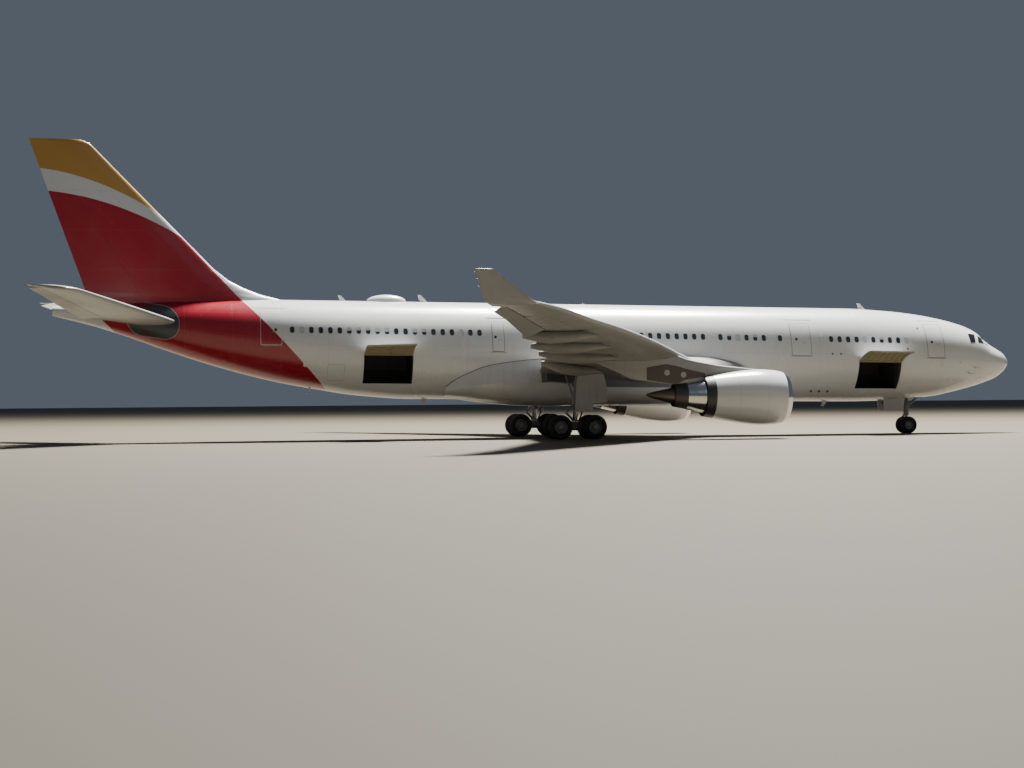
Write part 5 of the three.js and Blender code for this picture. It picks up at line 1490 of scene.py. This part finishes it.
for hand, side in HANDS:
    at = leg_point(hand)
    sheets = [
        strut(at(0, 0, 1.75), at(0, 0, 4.2), LEG_RADIUS, 32, collars=(0.03, 0.22, 0.34, 0.56)),
        tube(gear_point(hand)(0, 0, np.array([1.001, 1.03, 1.031, 1.1])), [0.2, 0.2, 0.19, 0.19], 28),
        strut(at(0, 0, 1.05), at(0, 0, 1.8), 0.145, 28, 1),
        strut(at(0, 0, 1.66), at(0, 0, 1.76), 0.2, 28),
        flat_link(at, ((0.1, 1.08), (0.55, 1.5)), (0.36, 0.14), 0.045),
        flat_link(at, ((0.55, 1.5), (0.16, 2.0)), (0.14, 0.36), 0.045),
        strut(at(0.55, -0.12, 1.5), at(0.55, 0.12, 1.5), 0.05, 14, 1),
        strut(at(0.1, -0.2, 1.1), at(0.1, 0.2, 1.1), 0.055, 14),
        strut(at(0.17, -0.2, 2.0), at(0.17, 0.2, 2.0), 0.06, 14),
        strut(at(0, 0, 2.3), at(-1.35, 0.1, 4.2), 0.095, 18, collars=(0.12, 0.55)),
        strut(at(0, 0, 2.5), at(0, 2.3, 3.7), 0.1, 18, collars=(0.14, 0.5)),
        strut(at(0, 0, 3.1), at(0, 1.2, 3.3), 0.06, 14, collars=(0.3,)),
        strut(at(0.1, 0.22, 2.2), at(0.75, 0.3, 3.7), 0.05, 14, collars=(0.3,)),
    ]
    # Hoses: down the front of the cylinder, round the piston and on to the beam.
    for shift in (-0.11, -0.06, 0.06, 0.11):
        way = traced([(-0.24, 3.8), (-0.27, 2.6), (-0.28, 1.8), (-0.36, 1.45), (-0.25, 1.12), (-0.22, 1.02)],
                     8)
        sheets.append(tube(at(way[:, 0], shift, way[:, 1]), 0.016, 8, slot=2))
    for height in (3.4, 2.75, 2.05):
        sheets.append(strut(at(-0.27, -0.15, height), at(-0.27, 0.15, height), 0.03, 10))
    piece(f"main_leg_{side}_struts", sheets, [gear_grey_painted_shade, chrome_painted_shade, hose_black], f"main_leg_{side}")

# Bogie beams
# A forged beam carries both axles in bores, with a boss for the leg, a pitch trimmer ahead of it, brake rods
# below and a ribbed brake housing inside each wheel.
# Columns: station, bottom, top, half width, for the front half; the rear half is its mirror image.
BEAM = [
    [27.66, 0.57, 0.81, 0.13],
    [27.76, 0.5, 0.88, 0.165],
    [27.98, 0.49, 0.89, 0.17],
    [28.3, 0.5, 0.87, 0.14],
    [28.55, 0.49, 0.92, 0.16],
    [28.68, 0.49, 0.995, 0.17],
]
BEAM += [[2 * GEAR_STATION - station, *sizes] for station, *sizes in BEAM[::-1]]
brake_metal = finish("brake_metal", (0.13, 0.125, 0.12), 0.5, metallic=0.7, grime=(0.04, 0.03, 0.025),
                     amount=0.6)

for hand, side in HANDS:
    at = gear_point(hand)
    along = np.linspace(BEAM[0][0], BEAM[-1][0], 60)[:, None]
    low, high, half = smooth(BEAM, along)
    turn = turns(24)
    height = (low + high) / 2 + (high - low) / 2 * signed_power(np.sin(turn), 0.45)
    ring = point(along, hand * GEAR_SIDE + half * signed_power(np.cos(turn), 0.45), height)
    sheets = [sheet(ring, around=True, ends="ab")]
    for axle in BOGIE:
        for way in (-1, 1):
            steps = np.array([0.165, 0.2, 0.201, 0.26, 0.261, 0.3, 0.301, 0.35, 0.351, 0.42])
            sizes = np.repeat([0.16, 0.29, 0.25, 0.29, 0.27], 2)
            path = point(axle, hand * GEAR_SIDE + way * steps, AXLE_HEIGHT)
            sheets.append(tube(path, sizes, 28, slot=1))
            feet = np.array([axle, GEAR_STATION + np.sign(axle - GEAR_STATION) * 0.25])
            sheets.append(tube(point(feet, hand * GEAR_SIDE + way * 0.22, [0.42, 0.45]), 0.026, 10))
    sheets.append(strut(at(-0.75, 0, 0.88), at(-0.26, 0, 1.0), 0.05, 14, collars=(0.5,)))
    piece(f"bogie_{side}_beam", sheets, [gear_grey_painted_shade, brake_metal], f"bogie_{side}")

# Main wheels
# Cross ply tyres with four grooves round the tread, on split rims of forged aluminium held by bolts, two on
# each axle, with a cap over each hub.
MAIN_WHEEL, MAIN_OFFSET, MAIN_AXLE = (0.69, 0.53, 0.36), 0.7, 0.11
GROOVE_HALF, GROOVE_DEPTH, TYRE_POWER = 0.008, 0.014, 2.6

tyre_rubber = finish("tyre_rubber", (0.014, 0.014, 0.016), 0.75, grime=(0.05, 0.045, 0.04), amount=0.7,
                     grain=0.3)
rim_grey = finish("rim_grey", (0.24, 0.24, 0.24), 0.35, metallic=0.4, grime=(0.08, 0.07, 0.06), amount=0.6)
bolt_steel = finish("bolt_steel", (0.3, 0.3, 0.31), 0.35, metallic=0.9, amount=0.3)


def tyre_profile(tyre, width, rim):
    """Rows of (offset, radius) round a tyre from its outer bead over the tread to the inner bead: a
    superellipse about the middle of the wall, with grooves cut to a depth."""
    middle, reach, half = (tyre + rim) / 2, (tyre - rim) / 2, width / 2
    bead = np.radians(np.linspace(-56, 20, 12))
    out, up = signed_power(np.cos(bead), 2 / TYRE_POWER), signed_power(np.sin(bead), 2 / TYRE_POWER)
    wall = np.column_stack([half * out, middle + reach * up])
    offset = np.linspace(wall[-1, 0], -wall[-1, 0], 25)[1:-1]
    grooves = np.array([-0.29, -0.1, 0.1, 0.29]) * width
    for groove in grooves:
        shift = np.array([-1.3, -1, 1, 1.3]) * GROOVE_HALF
        offset = np.append(offset[np.abs(offset - groove) > 1.4 * GROOVE_HALF], groove + shift)
    offset = np.sort(offset)[::-1]
    near = np.abs(offset[:, None] - grooves).min(1)
    radius = middle + reach * (1 - np.abs(offset / half) ** TYRE_POWER) ** (1 / TYRE_POWER)
    radius = radius - GROOVE_DEPTH * (near < 1.1 * GROOVE_HALF)
    return np.concatenate([wall, np.column_stack([offset, radius]), (wall * [-1, 1])[::-1]])


def wheel(place, hand, wheel_size, axle, offset):
    """Sheets of one wheel on an axle across the airliner. place takes distance aft, outboard of the axle's
    middle, and up. hand is the side of the axle that the wheel is on."""
    tyre, width, rim = wheel_size
    onto = lambda along, aft, up: place(aft, hand * (offset + along), up)
    sheets = [lathe(tyre_profile(tyre, width, rim), onto, 72, 0, closed=True)]
    half = width / 2
    face = [[0.84 * half, rim + 0.012], [0.9 * half, rim - 0.005], [0.84 * half, rim - 0.02],
            [0.5 * half, rim * 0.86],
            [0.3 * half, rim * 0.8], [0.26 * half, rim * 0.72], [0.3 * half, rim * 0.5],
            [0.4 * half, axle * 1.5],
            [0.72 * half, axle * 1.3], [0.8 * half, axle * 1.05], [0.8 * half, 0.003]]
    sheets.append(lathe(traced(face, 4), onto, 48, 1, ends="b"))
    back = [[-0.84 * half, rim + 0.012], [-0.88 * half, rim - 0.01], [-0.7 * half, rim * 0.9],
            [-0.4 * half, rim * 0.84],
            [-0.1 * half, rim * 0.7], [-0.1 * half, axle * 1.2], [-0.62 * half, axle]]
    sheets.append(lathe(traced(back, 4), onto, 48, 1))
    # Ten bolts, and nine dark hand holes farther out.
    for angles, foot, head, reach, radius, sides, slot in (
            (turns(10), 0.22, 0.36, 0.62, 0.045, 6, 2), (turns(9) + np.pi / 9, 0.2, 0.33, 0.76, 0.06, 8, 0)):
        for angle in angles:
            aft, up = rim * reach * np.cos(angle), rim * reach * np.sin(angle)
            sheets.append(tube(onto(np.linspace(foot, head, 3) * half, aft, up), rim * radius, sides,
                               slot=slot))
    return sheets


for hand, side in HANDS:
    for station, which in zip(BOGIE, ("front", "rear")):
        place = lambda aft, out, up: point(station + aft, hand * GEAR_SIDE + out, AXLE_HEIGHT + up)
        sheets = [part for way in (1, -1) for part in wheel(place, way, MAIN_WHEEL, MAIN_AXLE, MAIN_OFFSET)]
        sheets.append(tube(place(0, np.array([-0.6, 0.6]), 0), MAIN_AXLE, 24, slot=1))
        title = f"main_wheels_{which}_{side}"
        piece(title + "_set", sheets, [tyre_rubber, rim_grey, bolt_steel], title,
              body=f"axle_{which}_{side}")

# Leg doors
# A flat panel outboard of each leg is carried by the leg itself on two links, and closes the outer part of
# the bay when the gear is up. The bay behind stays open while the gear is down; its opening is drawn as a dark
# patch on the wing's lower skin and the fairing's wall, which is painted shade of the hollow.
DOOR_SIDE, DOOR_HALF = 6.3, 0.028
# Edges of the door from its foot up. Columns: height, front and rear station.
DOOR_EDGES = [
    [1.56, 28.04, 29.03], [1.7, 28.02, 29.035], [1.99, 28.0, 29.02], [2.04, 27.3, 29.02], [2.1, 27.2, 29.02],
    [2.9, 27.22, 28.97], [3.3, 27.3, 28.93], [3.6, 27.38, 28.85], [3.67, 27.42, 28.8],
]

# A mid grey for the doors' white: painted shade of the wing and hull above them.
door_white_painted_shade = finish("door_white_painted_shade", (0.4, 0.4, 0.38), 0.35, coat=0.2, grime=(0.14, 0.12, 0.1), amount=0.4)

for hand, side in HANDS:
    at = leg_point(hand)
    levels = [np.linspace(1.56, 1.98, 8), np.linspace(1.99, 2.12, 8), np.linspace(2.2, 3.67, 20)]
    height = np.concatenate(levels)[:, None]
    front, rear = read_straight(DOOR_EDGES, height)
    share = np.linspace(0, 1, 16)
    bulge = 0.018 * np.sin(np.pi * share)
    station = front + (rear - front) * share
    outer = point(station, hand * (DOOR_SIDE + DOOR_HALF - 0.018 + bulge), height)
    inner = point(station, hand * (DOOR_SIDE - DOOR_HALF), height)
    shell = np.concatenate([outer, inner[:, ::-1]], 1)
    sheets = [sheet(shell, around=True, ends="ab")]
    for level in (1.8, 2.35, 3.1):
        front, rear = read_straight(DOOR_EDGES, level)
        rib = sorted(hand * np.array([DOOR_SIDE - DOOR_HALF - 0.05, DOOR_SIDE - DOOR_HALF]))
        sheets.append(block((front + 0.08, rear - 0.08), rib, (level - 0.025, level + 0.025), 1))
    for level in (2.35, 3.1):
        sheets.append(strut(at(0, -(DOOR_SIDE - GEAR_SIDE) + 0.03, level), at(0, -LEG_RADIUS - 0.002, level),
                            0.045, 14, slot=1))
    piece(f"leg_door_{side}_panel", sheets, [door_white_painted_shade, gear_grey_painted_shade], f"leg_door_{side}")
    onto = level_map(WING, FOIL, hand)

    def under(station, place, proud):
        ahead, back = edges(WING, place)
        return onto(place, (station - ahead) / (back - ahead), -1, proud)
    # The bay's well in the wing and its opening in the fairing are flat dark patches on the skin: painted shade
    # of the open bay.
    rings = [(0, 0.0), (0, 0.012), (0.03, 0.012), (0.04, 0.004)]
    well = patches(under, from_middle([28.4, 4.65]), (1.05, 1.45), 0.15, rings, (1, 1, 1, 0), 64,
                   (0.8, 0.5, 0))
    way = np.linspace(0, 1, 60)
    rise = 0.35 * way + 0.65 * way * way * (3 - 2 * way)

    def wall(station, up, proud):
        edge, bottom, _ = smooth(BELLY, station)
        outer = np.interp(up / (np.interp(station, *BELLY_SHOULDER) * (edge - bottom)), rise, way)
        spot = belly(station, 0.5 - hand * (0.38 + 0.12 * outer))
        return spot + np.stack(np.broadcast_arrays(0, hand * np.asarray(proud, float), 0 * up), -1)
    opening = patches(wall, from_middle([29.03, 0.3]), (0.93, 0.28), 0.06, rings, (1, 1, 1, 0), 64,
                      (0.8, 0.5, 0))
    piece(f"gear_bay_{side}", [well, opening], [bay_painted_shade_and_soot, door_white_painted_shade])

# Nose gear
# The nose leg is a cylinder braced forward to the keel, with the steering collar, torque links and lamps on
# it. The steered part below carries the two small wheels.
NOSE_STATION, NOSE_AXLE_HEIGHT, NOSE_WHEEL, NOSE_OFFSET, NOSE_AXLE = 6.67, 0.52, (0.52, 0.37,
                                                                                  0.25), 0.355, 0.07

LAMP_SIDE, LAMP_HEIGHT = 0.27, 1.9

at = lambda aft, across, height: point(NOSE_STATION + aft, across, height)
sheets = [
    strut(at(0, 0, 1.281), at(0, 0, 2.6), 0.148, 28, collars=(0.06, 0.4, 0.7)),
    strut(at(0, 0, 1.55), at(-1.0, 0, 2.45), 0.065, 16, collars=(0.1, 0.5)),
    strut(at(-0.1, -0.3, LAMP_HEIGHT), at(-0.1, 0.3, LAMP_HEIGHT), 0.035, 12),
]
for across in (-LAMP_SIDE, LAMP_SIDE):
    bowl = [[-0.19, 0.112], [-0.16, 0.115], [-0.1, 0.09], [-0.04, 0.03], [-0.03, 0.004]]
    shine = lambda along, side_way, up: at(along - 0.02, across + side_way, LAMP_HEIGHT + up)
    sheets.append(lathe(traced(bowl, 4), shine, 28, 0, ends="b"))
    sheets.append(lathe(traced([[-0.175, 0.108], [-0.185, 0.07], [-0.19, 0.003]], 4), shine, 28, 1, ends="b"))
piece("nose_leg_struts", sheets, [gear_grey_painted_shade, lamp_glass], "nose_leg")

sheets = [
    tube(at(0, 0, [1.08, 1.1, 1.101, 1.279]), [0.15, 0.15, 0.168, 0.168], 28),
    tube(at(0, 0, [0.55, 1.1]), 0.09, 24, slot=1),
    tube(at(0, 0, [0.5, 0.66, 0.661, 0.72]), [0.118, 0.118, 0.105, 0.105], 24),
    tube(at(0, [-0.12, -0.1, 0.1, 0.12], NOSE_AXLE_HEIGHT), [0.11, 0.128, 0.128, 0.11], 24),
    flat_link(at, ((0.1, 0.7), (0.34, 0.92)), (0.2, 0.09), 0.024),
    flat_link(at, ((0.34, 0.92), (0.14, 1.14)), (0.09, 0.2), 0.024),
    strut(at(-0.1, 0, 0.45), at(-0.22, 0, 0.45), 0.03, 12),
]
piece("nose_fork_post", sheets, [gear_grey_painted_shade, chrome_painted_shade], "nose_fork", body="nose_steering")

place = lambda aft, out, up: point(NOSE_STATION + aft, out, NOSE_AXLE_HEIGHT + up)
sheets = [part for way in (1, -1) for part in wheel(place, way, NOSE_WHEEL, NOSE_AXLE, NOSE_OFFSET)]
sheets.append(tube(place(0, np.array([-0.3, 0.3]), 0), NOSE_AXLE, 24, slot=1))
piece("nose_wheels_set", sheets, [tyre_rubber, rim_grey, bolt_steel], "nose_wheels", body="nose_axle")

# Nose gear doors
# Two small doors beside the leg stay open while the gear is down, on goose neck hinges at the bay's edges.
# Edges of a door from the hull down. Columns: height over the axis, front and rear station.
NOSE_DOOR_EDGES = [[-3.37, 7.1, 8.22], [-3.3, 7.06, 8.26], [-2.9, 7.0, 8.3], [-2.45, 6.95, 8.34]]

for hand, side in HANDS:
    over = np.linspace(-3.37, -2.45, 12)[:, None]
    front, rear = read_straight(NOSE_DOOR_EDGES, over)
    share = np.linspace(0, 1, 10)
    station = front + (rear - front) * share
    skin = [point(station, hand * (0.5 + shift), axis_height(station) + over) for shift in (0.02, -0.02)]
    sheets = [sheet(np.concatenate([skin[0], skin[1][:, ::-1]], 1), around=True, ends="ab")]
    for place in (7.3, 8.0):
        ends = point(place, hand * np.array([0.48, 0.3]), axis_height(place) - [3.0, 2.6])
        sheets.append(strut(*ends, 0.025, 10, slot=1))
    piece(f"nose_gear_door_{side}", sheets, [door_white_painted_shade, gear_grey_painted_shade])

# The open nose gear bay is a flat dark patch on the keel: painted shade of the hollow.
rings = [(0, 0.0), (0, 0.006), (0.02, 0.006), (0.03, 0.002)]
keel = lambda station, across, proud: hull(station, KEEL + across / 2.6, proud)
bays = [patches(keel, from_middle([7.0, 0]), (1.3, 0.42), 0.08, rings, (1, 1, 1, 0), 64, (0.8, 0.4, 0))]
piece("nose_gear_bay", bays, [bay_painted_shade_and_soot, door_white_painted_shade])

# Crown and keel fittings
# On the crown stand a plastic dome over the satellite antenna, blade aerials and a red beacon. Below are two
# more blades, the drain masts, a beacon and the small probes and ports of the nose.
# The dome's half length, half width and height over the crown.
DOME_STATION, DOME_HALF = 38.75, (1.15, 0.5, 0.39)
# Columns: station, chord at the foot, height, whether it stands on the crown.
BLADES = [[9.46, 0.5, 0.37, 1], [36.52, 0.5, 0.42, 1], [41.25, 0.4, 0.32, 1], [11.9, 0.42, 0.3, 0],
          [36.5, 0.42, 0.26, 0]]
DRAIN_MASTS = (14.2, 43.2)

aerial_white = finish("aerial_white", (0.63, 0.645, 0.65), 0.3, coat=0.3, amount=0.15)
beacon_red = finish("beacon_red", (0.2, 0.008, 0.006), 0.15, coat=0.5, amount=0.02)

crown = lambda station: hull(np.asarray(station, float), np.pi / 2)[..., 2]
keel_height = lambda station: hull(np.asarray(station, float), KEEL)[..., 2]

lift = np.linspace(-0.16, np.pi / 2 - 0.004, 24)[:, None]
turn = turns(64)
station = DOME_STATION + DOME_HALF[0] * np.cos(lift) * np.cos(turn)
dome = point(station, DOME_HALF[1] * np.cos(lift) * np.sin(turn),
             crown(DOME_STATION) + DOME_HALF[2] * np.sin(lift))
dome[0, :, 2] = dome[0, :, 2] - 0.12
piece("antenna_dome_shell", [sheet(dome, around=True, ends="b", facing=(0, 0, 1))], [aerial_white],
      "antenna_dome")


def blade_aerial(station, chord_length, height, up):
    """A swept blade: lens-shaped rings that shrink and lean aft as they rise."""
    ground = crown(station) if up else keel_height(station)
    share = np.linspace(0, 1, 9)[:, None]
    turn = turns(20)
    half = chord_length / 2 * (0.85 - 0.45 * share)
    rise = (height + 0.03) * share - 0.03
    return sheet(point(station + 0.7 * height * share + half * np.cos(turn),
                       0.022 * (1 - 0.6 * share) * np.sin(turn),
                       ground + (rise if up else -rise)), around=True, ends="ab")


aerials = [blade_aerial(station, length, height, up) for station, length, height, up in BLADES]
piece("blade_aerials", aerials, [aerial_white])

sheets = []
for station, up in ((27.05, 1), (25.4, 0)):
    base = crown(station) if up else float(axis_height(station)) - 3.15
    way = 1 if up else -1
    bowl = [[-0.02, 0.17], [0.02, 0.15], [0.03, 0.075], [0.08, 0.07], [0.11, 0.045], [0.125, 0.003]]
    place = lambda along, aft, across: point(station + aft, across, base + way * along)
    sheets.append(lathe(traced(bowl, 4), place, 28, np.repeat([1, 1, 0, 0, 0], 4)[:, None], ends="b"))
piece("beacons", sheets, [beacon_red, aerial_white])

sheets = []
for station in DRAIN_MASTS:
    foot = float(keel_height(station)) + 0.03
    path = point(station + np.array([0, 0.02, 0.1, 0.22]), 0.0, foot - np.array([0, 0.12, 0.25, 0.33]))
    sheets.append(tube(path, [0.05, 0.045, 0.035, 0.03], 12))
piece("drain_masts", sheets, [aerial_white])

# Probes, ports and lids
# Pitot tubes and angle of attack vanes stand at the nose, and the skin has small bare metal rings round the
# static ports, dark outlets, lids over the ground connections and the bulk door's outline behind the wing.
# Columns: station, height over the axis, half width, half height.
PORTS = np.array([
    [6.787, 1.607, 0.04, 0.04], [7.669, 0.342, 0.05, 0.04], [12.48, -0.008, 0.05, 0.04],
    [11.946, -0.003, 0.05, 0.04], [13.45, -2.23, 0.06, 0.06], [12.94, -2.23, 0.06, 0.06],
    [12.41, -2.23, 0.06, 0.06],
])
LIDS = np.array([
    [4.6, -1.5, 0.2, 0.14], [12.3, -1.9, 0.24, 0.16], [13.6, -1.55, 0.14, 0.14], [36.3, -1.7, 0.2, 0.14],
    [43.6, -0.9, 0.18, 0.14],
])
PORT_RINGS = [(-0.012, 0), (-0.01, 0.008), (0, 0.008), (0.004, 0.004)]
LID_RINGS = [(-0.008, 0), (-0.006, 0.004), (0, 0.004), (0.004, 0.005)]
STATIC_RINGS = [(0, 0), (0, 0.004), (0.05, 0.004), (0.052, 0.006)]
BULK_DOOR = [41.95, -1.35, 0.48, 0.46]

port_dark = finish("port_dark", (0.06, 0.062, 0.065), 0.5, amount=0.2)
probe_metal = finish("probe_metal", (0.45, 0.44, 0.42), 0.25, metallic=0.95, amount=0.3)
lid_edge = finish("lid_edge", (0.34, 0.35, 0.37), 0.5, amount=0.2)

for hand, side in HANDS:
    onto = hull_side(hand)
    sheets = [
        patches(onto, from_middle(PORTS[:, :2]), PORTS[:, 2:], 0.05, PORT_RINGS, (1, 1, 1, 0), 24, (0,)),
        patches(onto, from_middle(LIDS[:, :2]), LIDS[:, 2:], 0.05, LID_RINGS, (3, 3, 2), 32, (0.5, 0)),
        patches(onto, from_middle([5.35, -0.6]), (0.12, 0.12), 0.12, STATIC_RINGS, (1, 1, 1, 1), 28, (0,)),
    ]
    if hand < 0:
        rings = [(0, 0.001), (0, 0.003), (0.02, 0.003), (0.02, 0.006)]
        sheets.append(patches(onto, from_middle(BULK_DOOR[:2]), BULK_DOOR[2:], 0.08, rings, (3, 3, 2), 64,
                              (0.8, 0.5, 0.2, 0)))
    piece(f"ports_and_lids_{side}", sheets, [port_dark, probe_metal, hull_white, lid_edge])
    sheets = []
    for station, over in ((2.95, -0.72), (3.35, -1.05)):
        foot, out = onto(station, over, np.array([0, 0.14]))
        path = np.stack([foot, out + [-0.05, 0, 0], out + [0.05, 0, 0], out + [0.3, 0, 0]])
        sheets.append(tube(path, [0.028, 0.024, 0.02, 0.013], 12))
    sheets.append(tube(onto(4.1, -0.45, np.array([0, 0.12])), [0.03, 0.02], 10))
    piece(f"nose_probes_{side}", sheets, [probe_metal])

# Static wicks
# Thin carbon rods are clamped to the trailing edges of wings, winglets and tailplanes, and bleed off static
# charge.
WICK_LENGTH, WICK_RADIUS = 0.16, 0.007
wick_black = finish("wick_black", (0.03, 0.03, 0.03), 0.5, amount=0.1)

for hand, side in HANDS:
    sheets = []
    for rows, shape, places in ((WING, FOIL, (14.5, 17.4)), (TAILPLANE, EVEN_FOIL, (9.45, 9.6))):
        onto = level_map(rows, shape, hand)
        for place in places:
            tail = onto(place, 1, 1)
            sheets.append(tube(tail - [0, 0, 0.01] + np.array([[0.05, 0, 0], [-WICK_LENGTH, 0, -0.004]]),
                               WICK_RADIUS, 6))
    for way in (0.9, 1.2, 1.5):
        place, _, _, back, high, _, _ = smooth(WINGLET, way)
        sheets.append(tube(point(np.array([back - 0.03, back + 0.1]), hand * place, high), WICK_RADIUS, 6))
    piece(f"static_wicks_{side}", sheets, [wick_black])

# Tail exhaust
# The auxiliary power unit breathes out through the tail cone's tip, where a ring of heat stained alloy is
# riveted round a deep dark pipe.
EXHAUST_STATION, EXHAUST_RADIUS, EXHAUST_DEPTH, EXHAUST_OVER = 57.6, 0.17, 0.5, 1.99
TIP_RING = 48

angle = turns(TIP_RING)
rim = hull(EXHAUST_STATION, angle)
middle = float(axis_height(EXHAUST_STATION)) + EXHAUST_OVER
circle = lambda aft, wide: point(
    EXHAUST_STATION + aft, (EXHAUST_RADIUS + wide) * np.cos(angle),
    middle + (EXHAUST_RADIUS + wide) * np.sin(angle))
mouth = np.stack([rim, rim + [-0.012, 0, 0], circle(0.02, 0.02), circle(0.01, 0),
                  circle(-EXHAUST_DEPTH, -0.02)])
sheets = [sheet(mouth, around=True, ends="b", slot=np.array([0, 0, 0, 1])[:, None], facing=(-1, 0, 0))]
piece("tail_exhaust", sheets, [plug_alloy, bay_painted_shade_and_soot])

# Floor, lights and camera
# A pale seamless floor, an even pale surround and two broad lamps light the airliner for its picture. The
# camera stands low and far off, abeam of the tail.
CAMERA_PLACE = (-12.549, -55.835, 1.135)
CAMERA_HEADING, CAMERA_PITCH, CAMERA_ROLL = np.radians([11.726, 0.456, -0.468])
CAMERA_LENS = 68.24
FLOOR_HALF = 400


def look(heading, pitch, roll):
    """Rotation of a camera, as right, up and back, by its heading from +Y towards +X, its pitch and its roll."""
    ahead = np.array([np.sin(heading) * np.cos(pitch), np.cos(heading) * np.cos(pitch), np.sin(pitch)])
    right = np.array([np.cos(heading), -np.sin(heading), 0])
    up = np.cross(right, ahead)
    level = np.stack([right, up, -ahead], 1)
    turn = np.array([[np.cos(roll), -np.sin(roll), 0], [np.sin(roll), np.cos(roll), 0], [0, 0, 1]])
    return level @ turn


floor_finish = bpy.data.materials.new("floor_grey")
floor_finish.use_nodes = True
floor_shader = floor_finish.node_tree.nodes["Principled BSDF"]
floor_shader.inputs["Base Color"].default_value = (0.128, 0.113, 0.084, 1)
floor_shader.inputs["Roughness"].default_value = 0.8
floor_shader.inputs["Specular IOR Level"].default_value = 0.25
floor_mesh = bpy.data.meshes.new("floor")
corners = [(x * FLOOR_HALF, y * FLOOR_HALF, 0) for x, y in ((-1, -1), (1, -1), (1, 1), (-1, 1))]
floor_mesh.from_pydata(corners, [], [(0, 1, 2, 3)])
floor_mesh.materials.append(floor_finish)
floor = bpy.data.objects.new("floor", floor_mesh)
bpy.context.scene.collection.objects.link(floor)
floor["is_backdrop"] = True

world = bpy.data.worlds.new("pale_surround")
bpy.context.scene.world = world
world.use_nodes = True
world.node_tree.nodes["Background"].inputs["Color"].default_value = (0.66, 0.8, 1.0, 1)
world.node_tree.nodes["Background"].inputs["Strength"].default_value = 0.14


def lamp(name, place, size, power, colour):
    """A square lamp that faces the middle of the airliner."""
    light = bpy.data.lights.new(name, "AREA")
    light.size, light.energy, light.color = size, power, colour
    thing = bpy.data.objects.new(name, light)
    bpy.context.scene.collection.objects.link(thing)
    thing.location = place
    back = np.array(place) / np.linalg.norm(place)
    right = np.cross([0, 1, 0], back)
    right = right / np.linalg.norm(right)
    basis = np.stack([right, np.cross(back, right), back], 1)
    thing.rotation_euler = mathutils.Matrix(basis).to_euler()


lamp("key", (18, 24, 66), 14, 350000, (1, 0.97, 0.92))
lamp("fill", (20, -70, 40), 40, 1200, (0.85, 0.92, 1))

camera = bpy.data.cameras.new("camera")
camera.lens, camera.clip_end = CAMERA_LENS, 1000
camera_thing = bpy.data.objects.new("camera", camera)
bpy.context.scene.collection.objects.link(camera_thing)
camera_thing.location = CAMERA_PLACE
camera_thing.rotation_euler = mathutils.Matrix(look(CAMERA_HEADING, CAMERA_PITCH, CAMERA_ROLL)).to_euler()
bpy.context.scene.camera = camera_thing

low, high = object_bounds()
{"cad": [list(cad_low), list(cad_high)], "visual": [list(low), list(high)]}
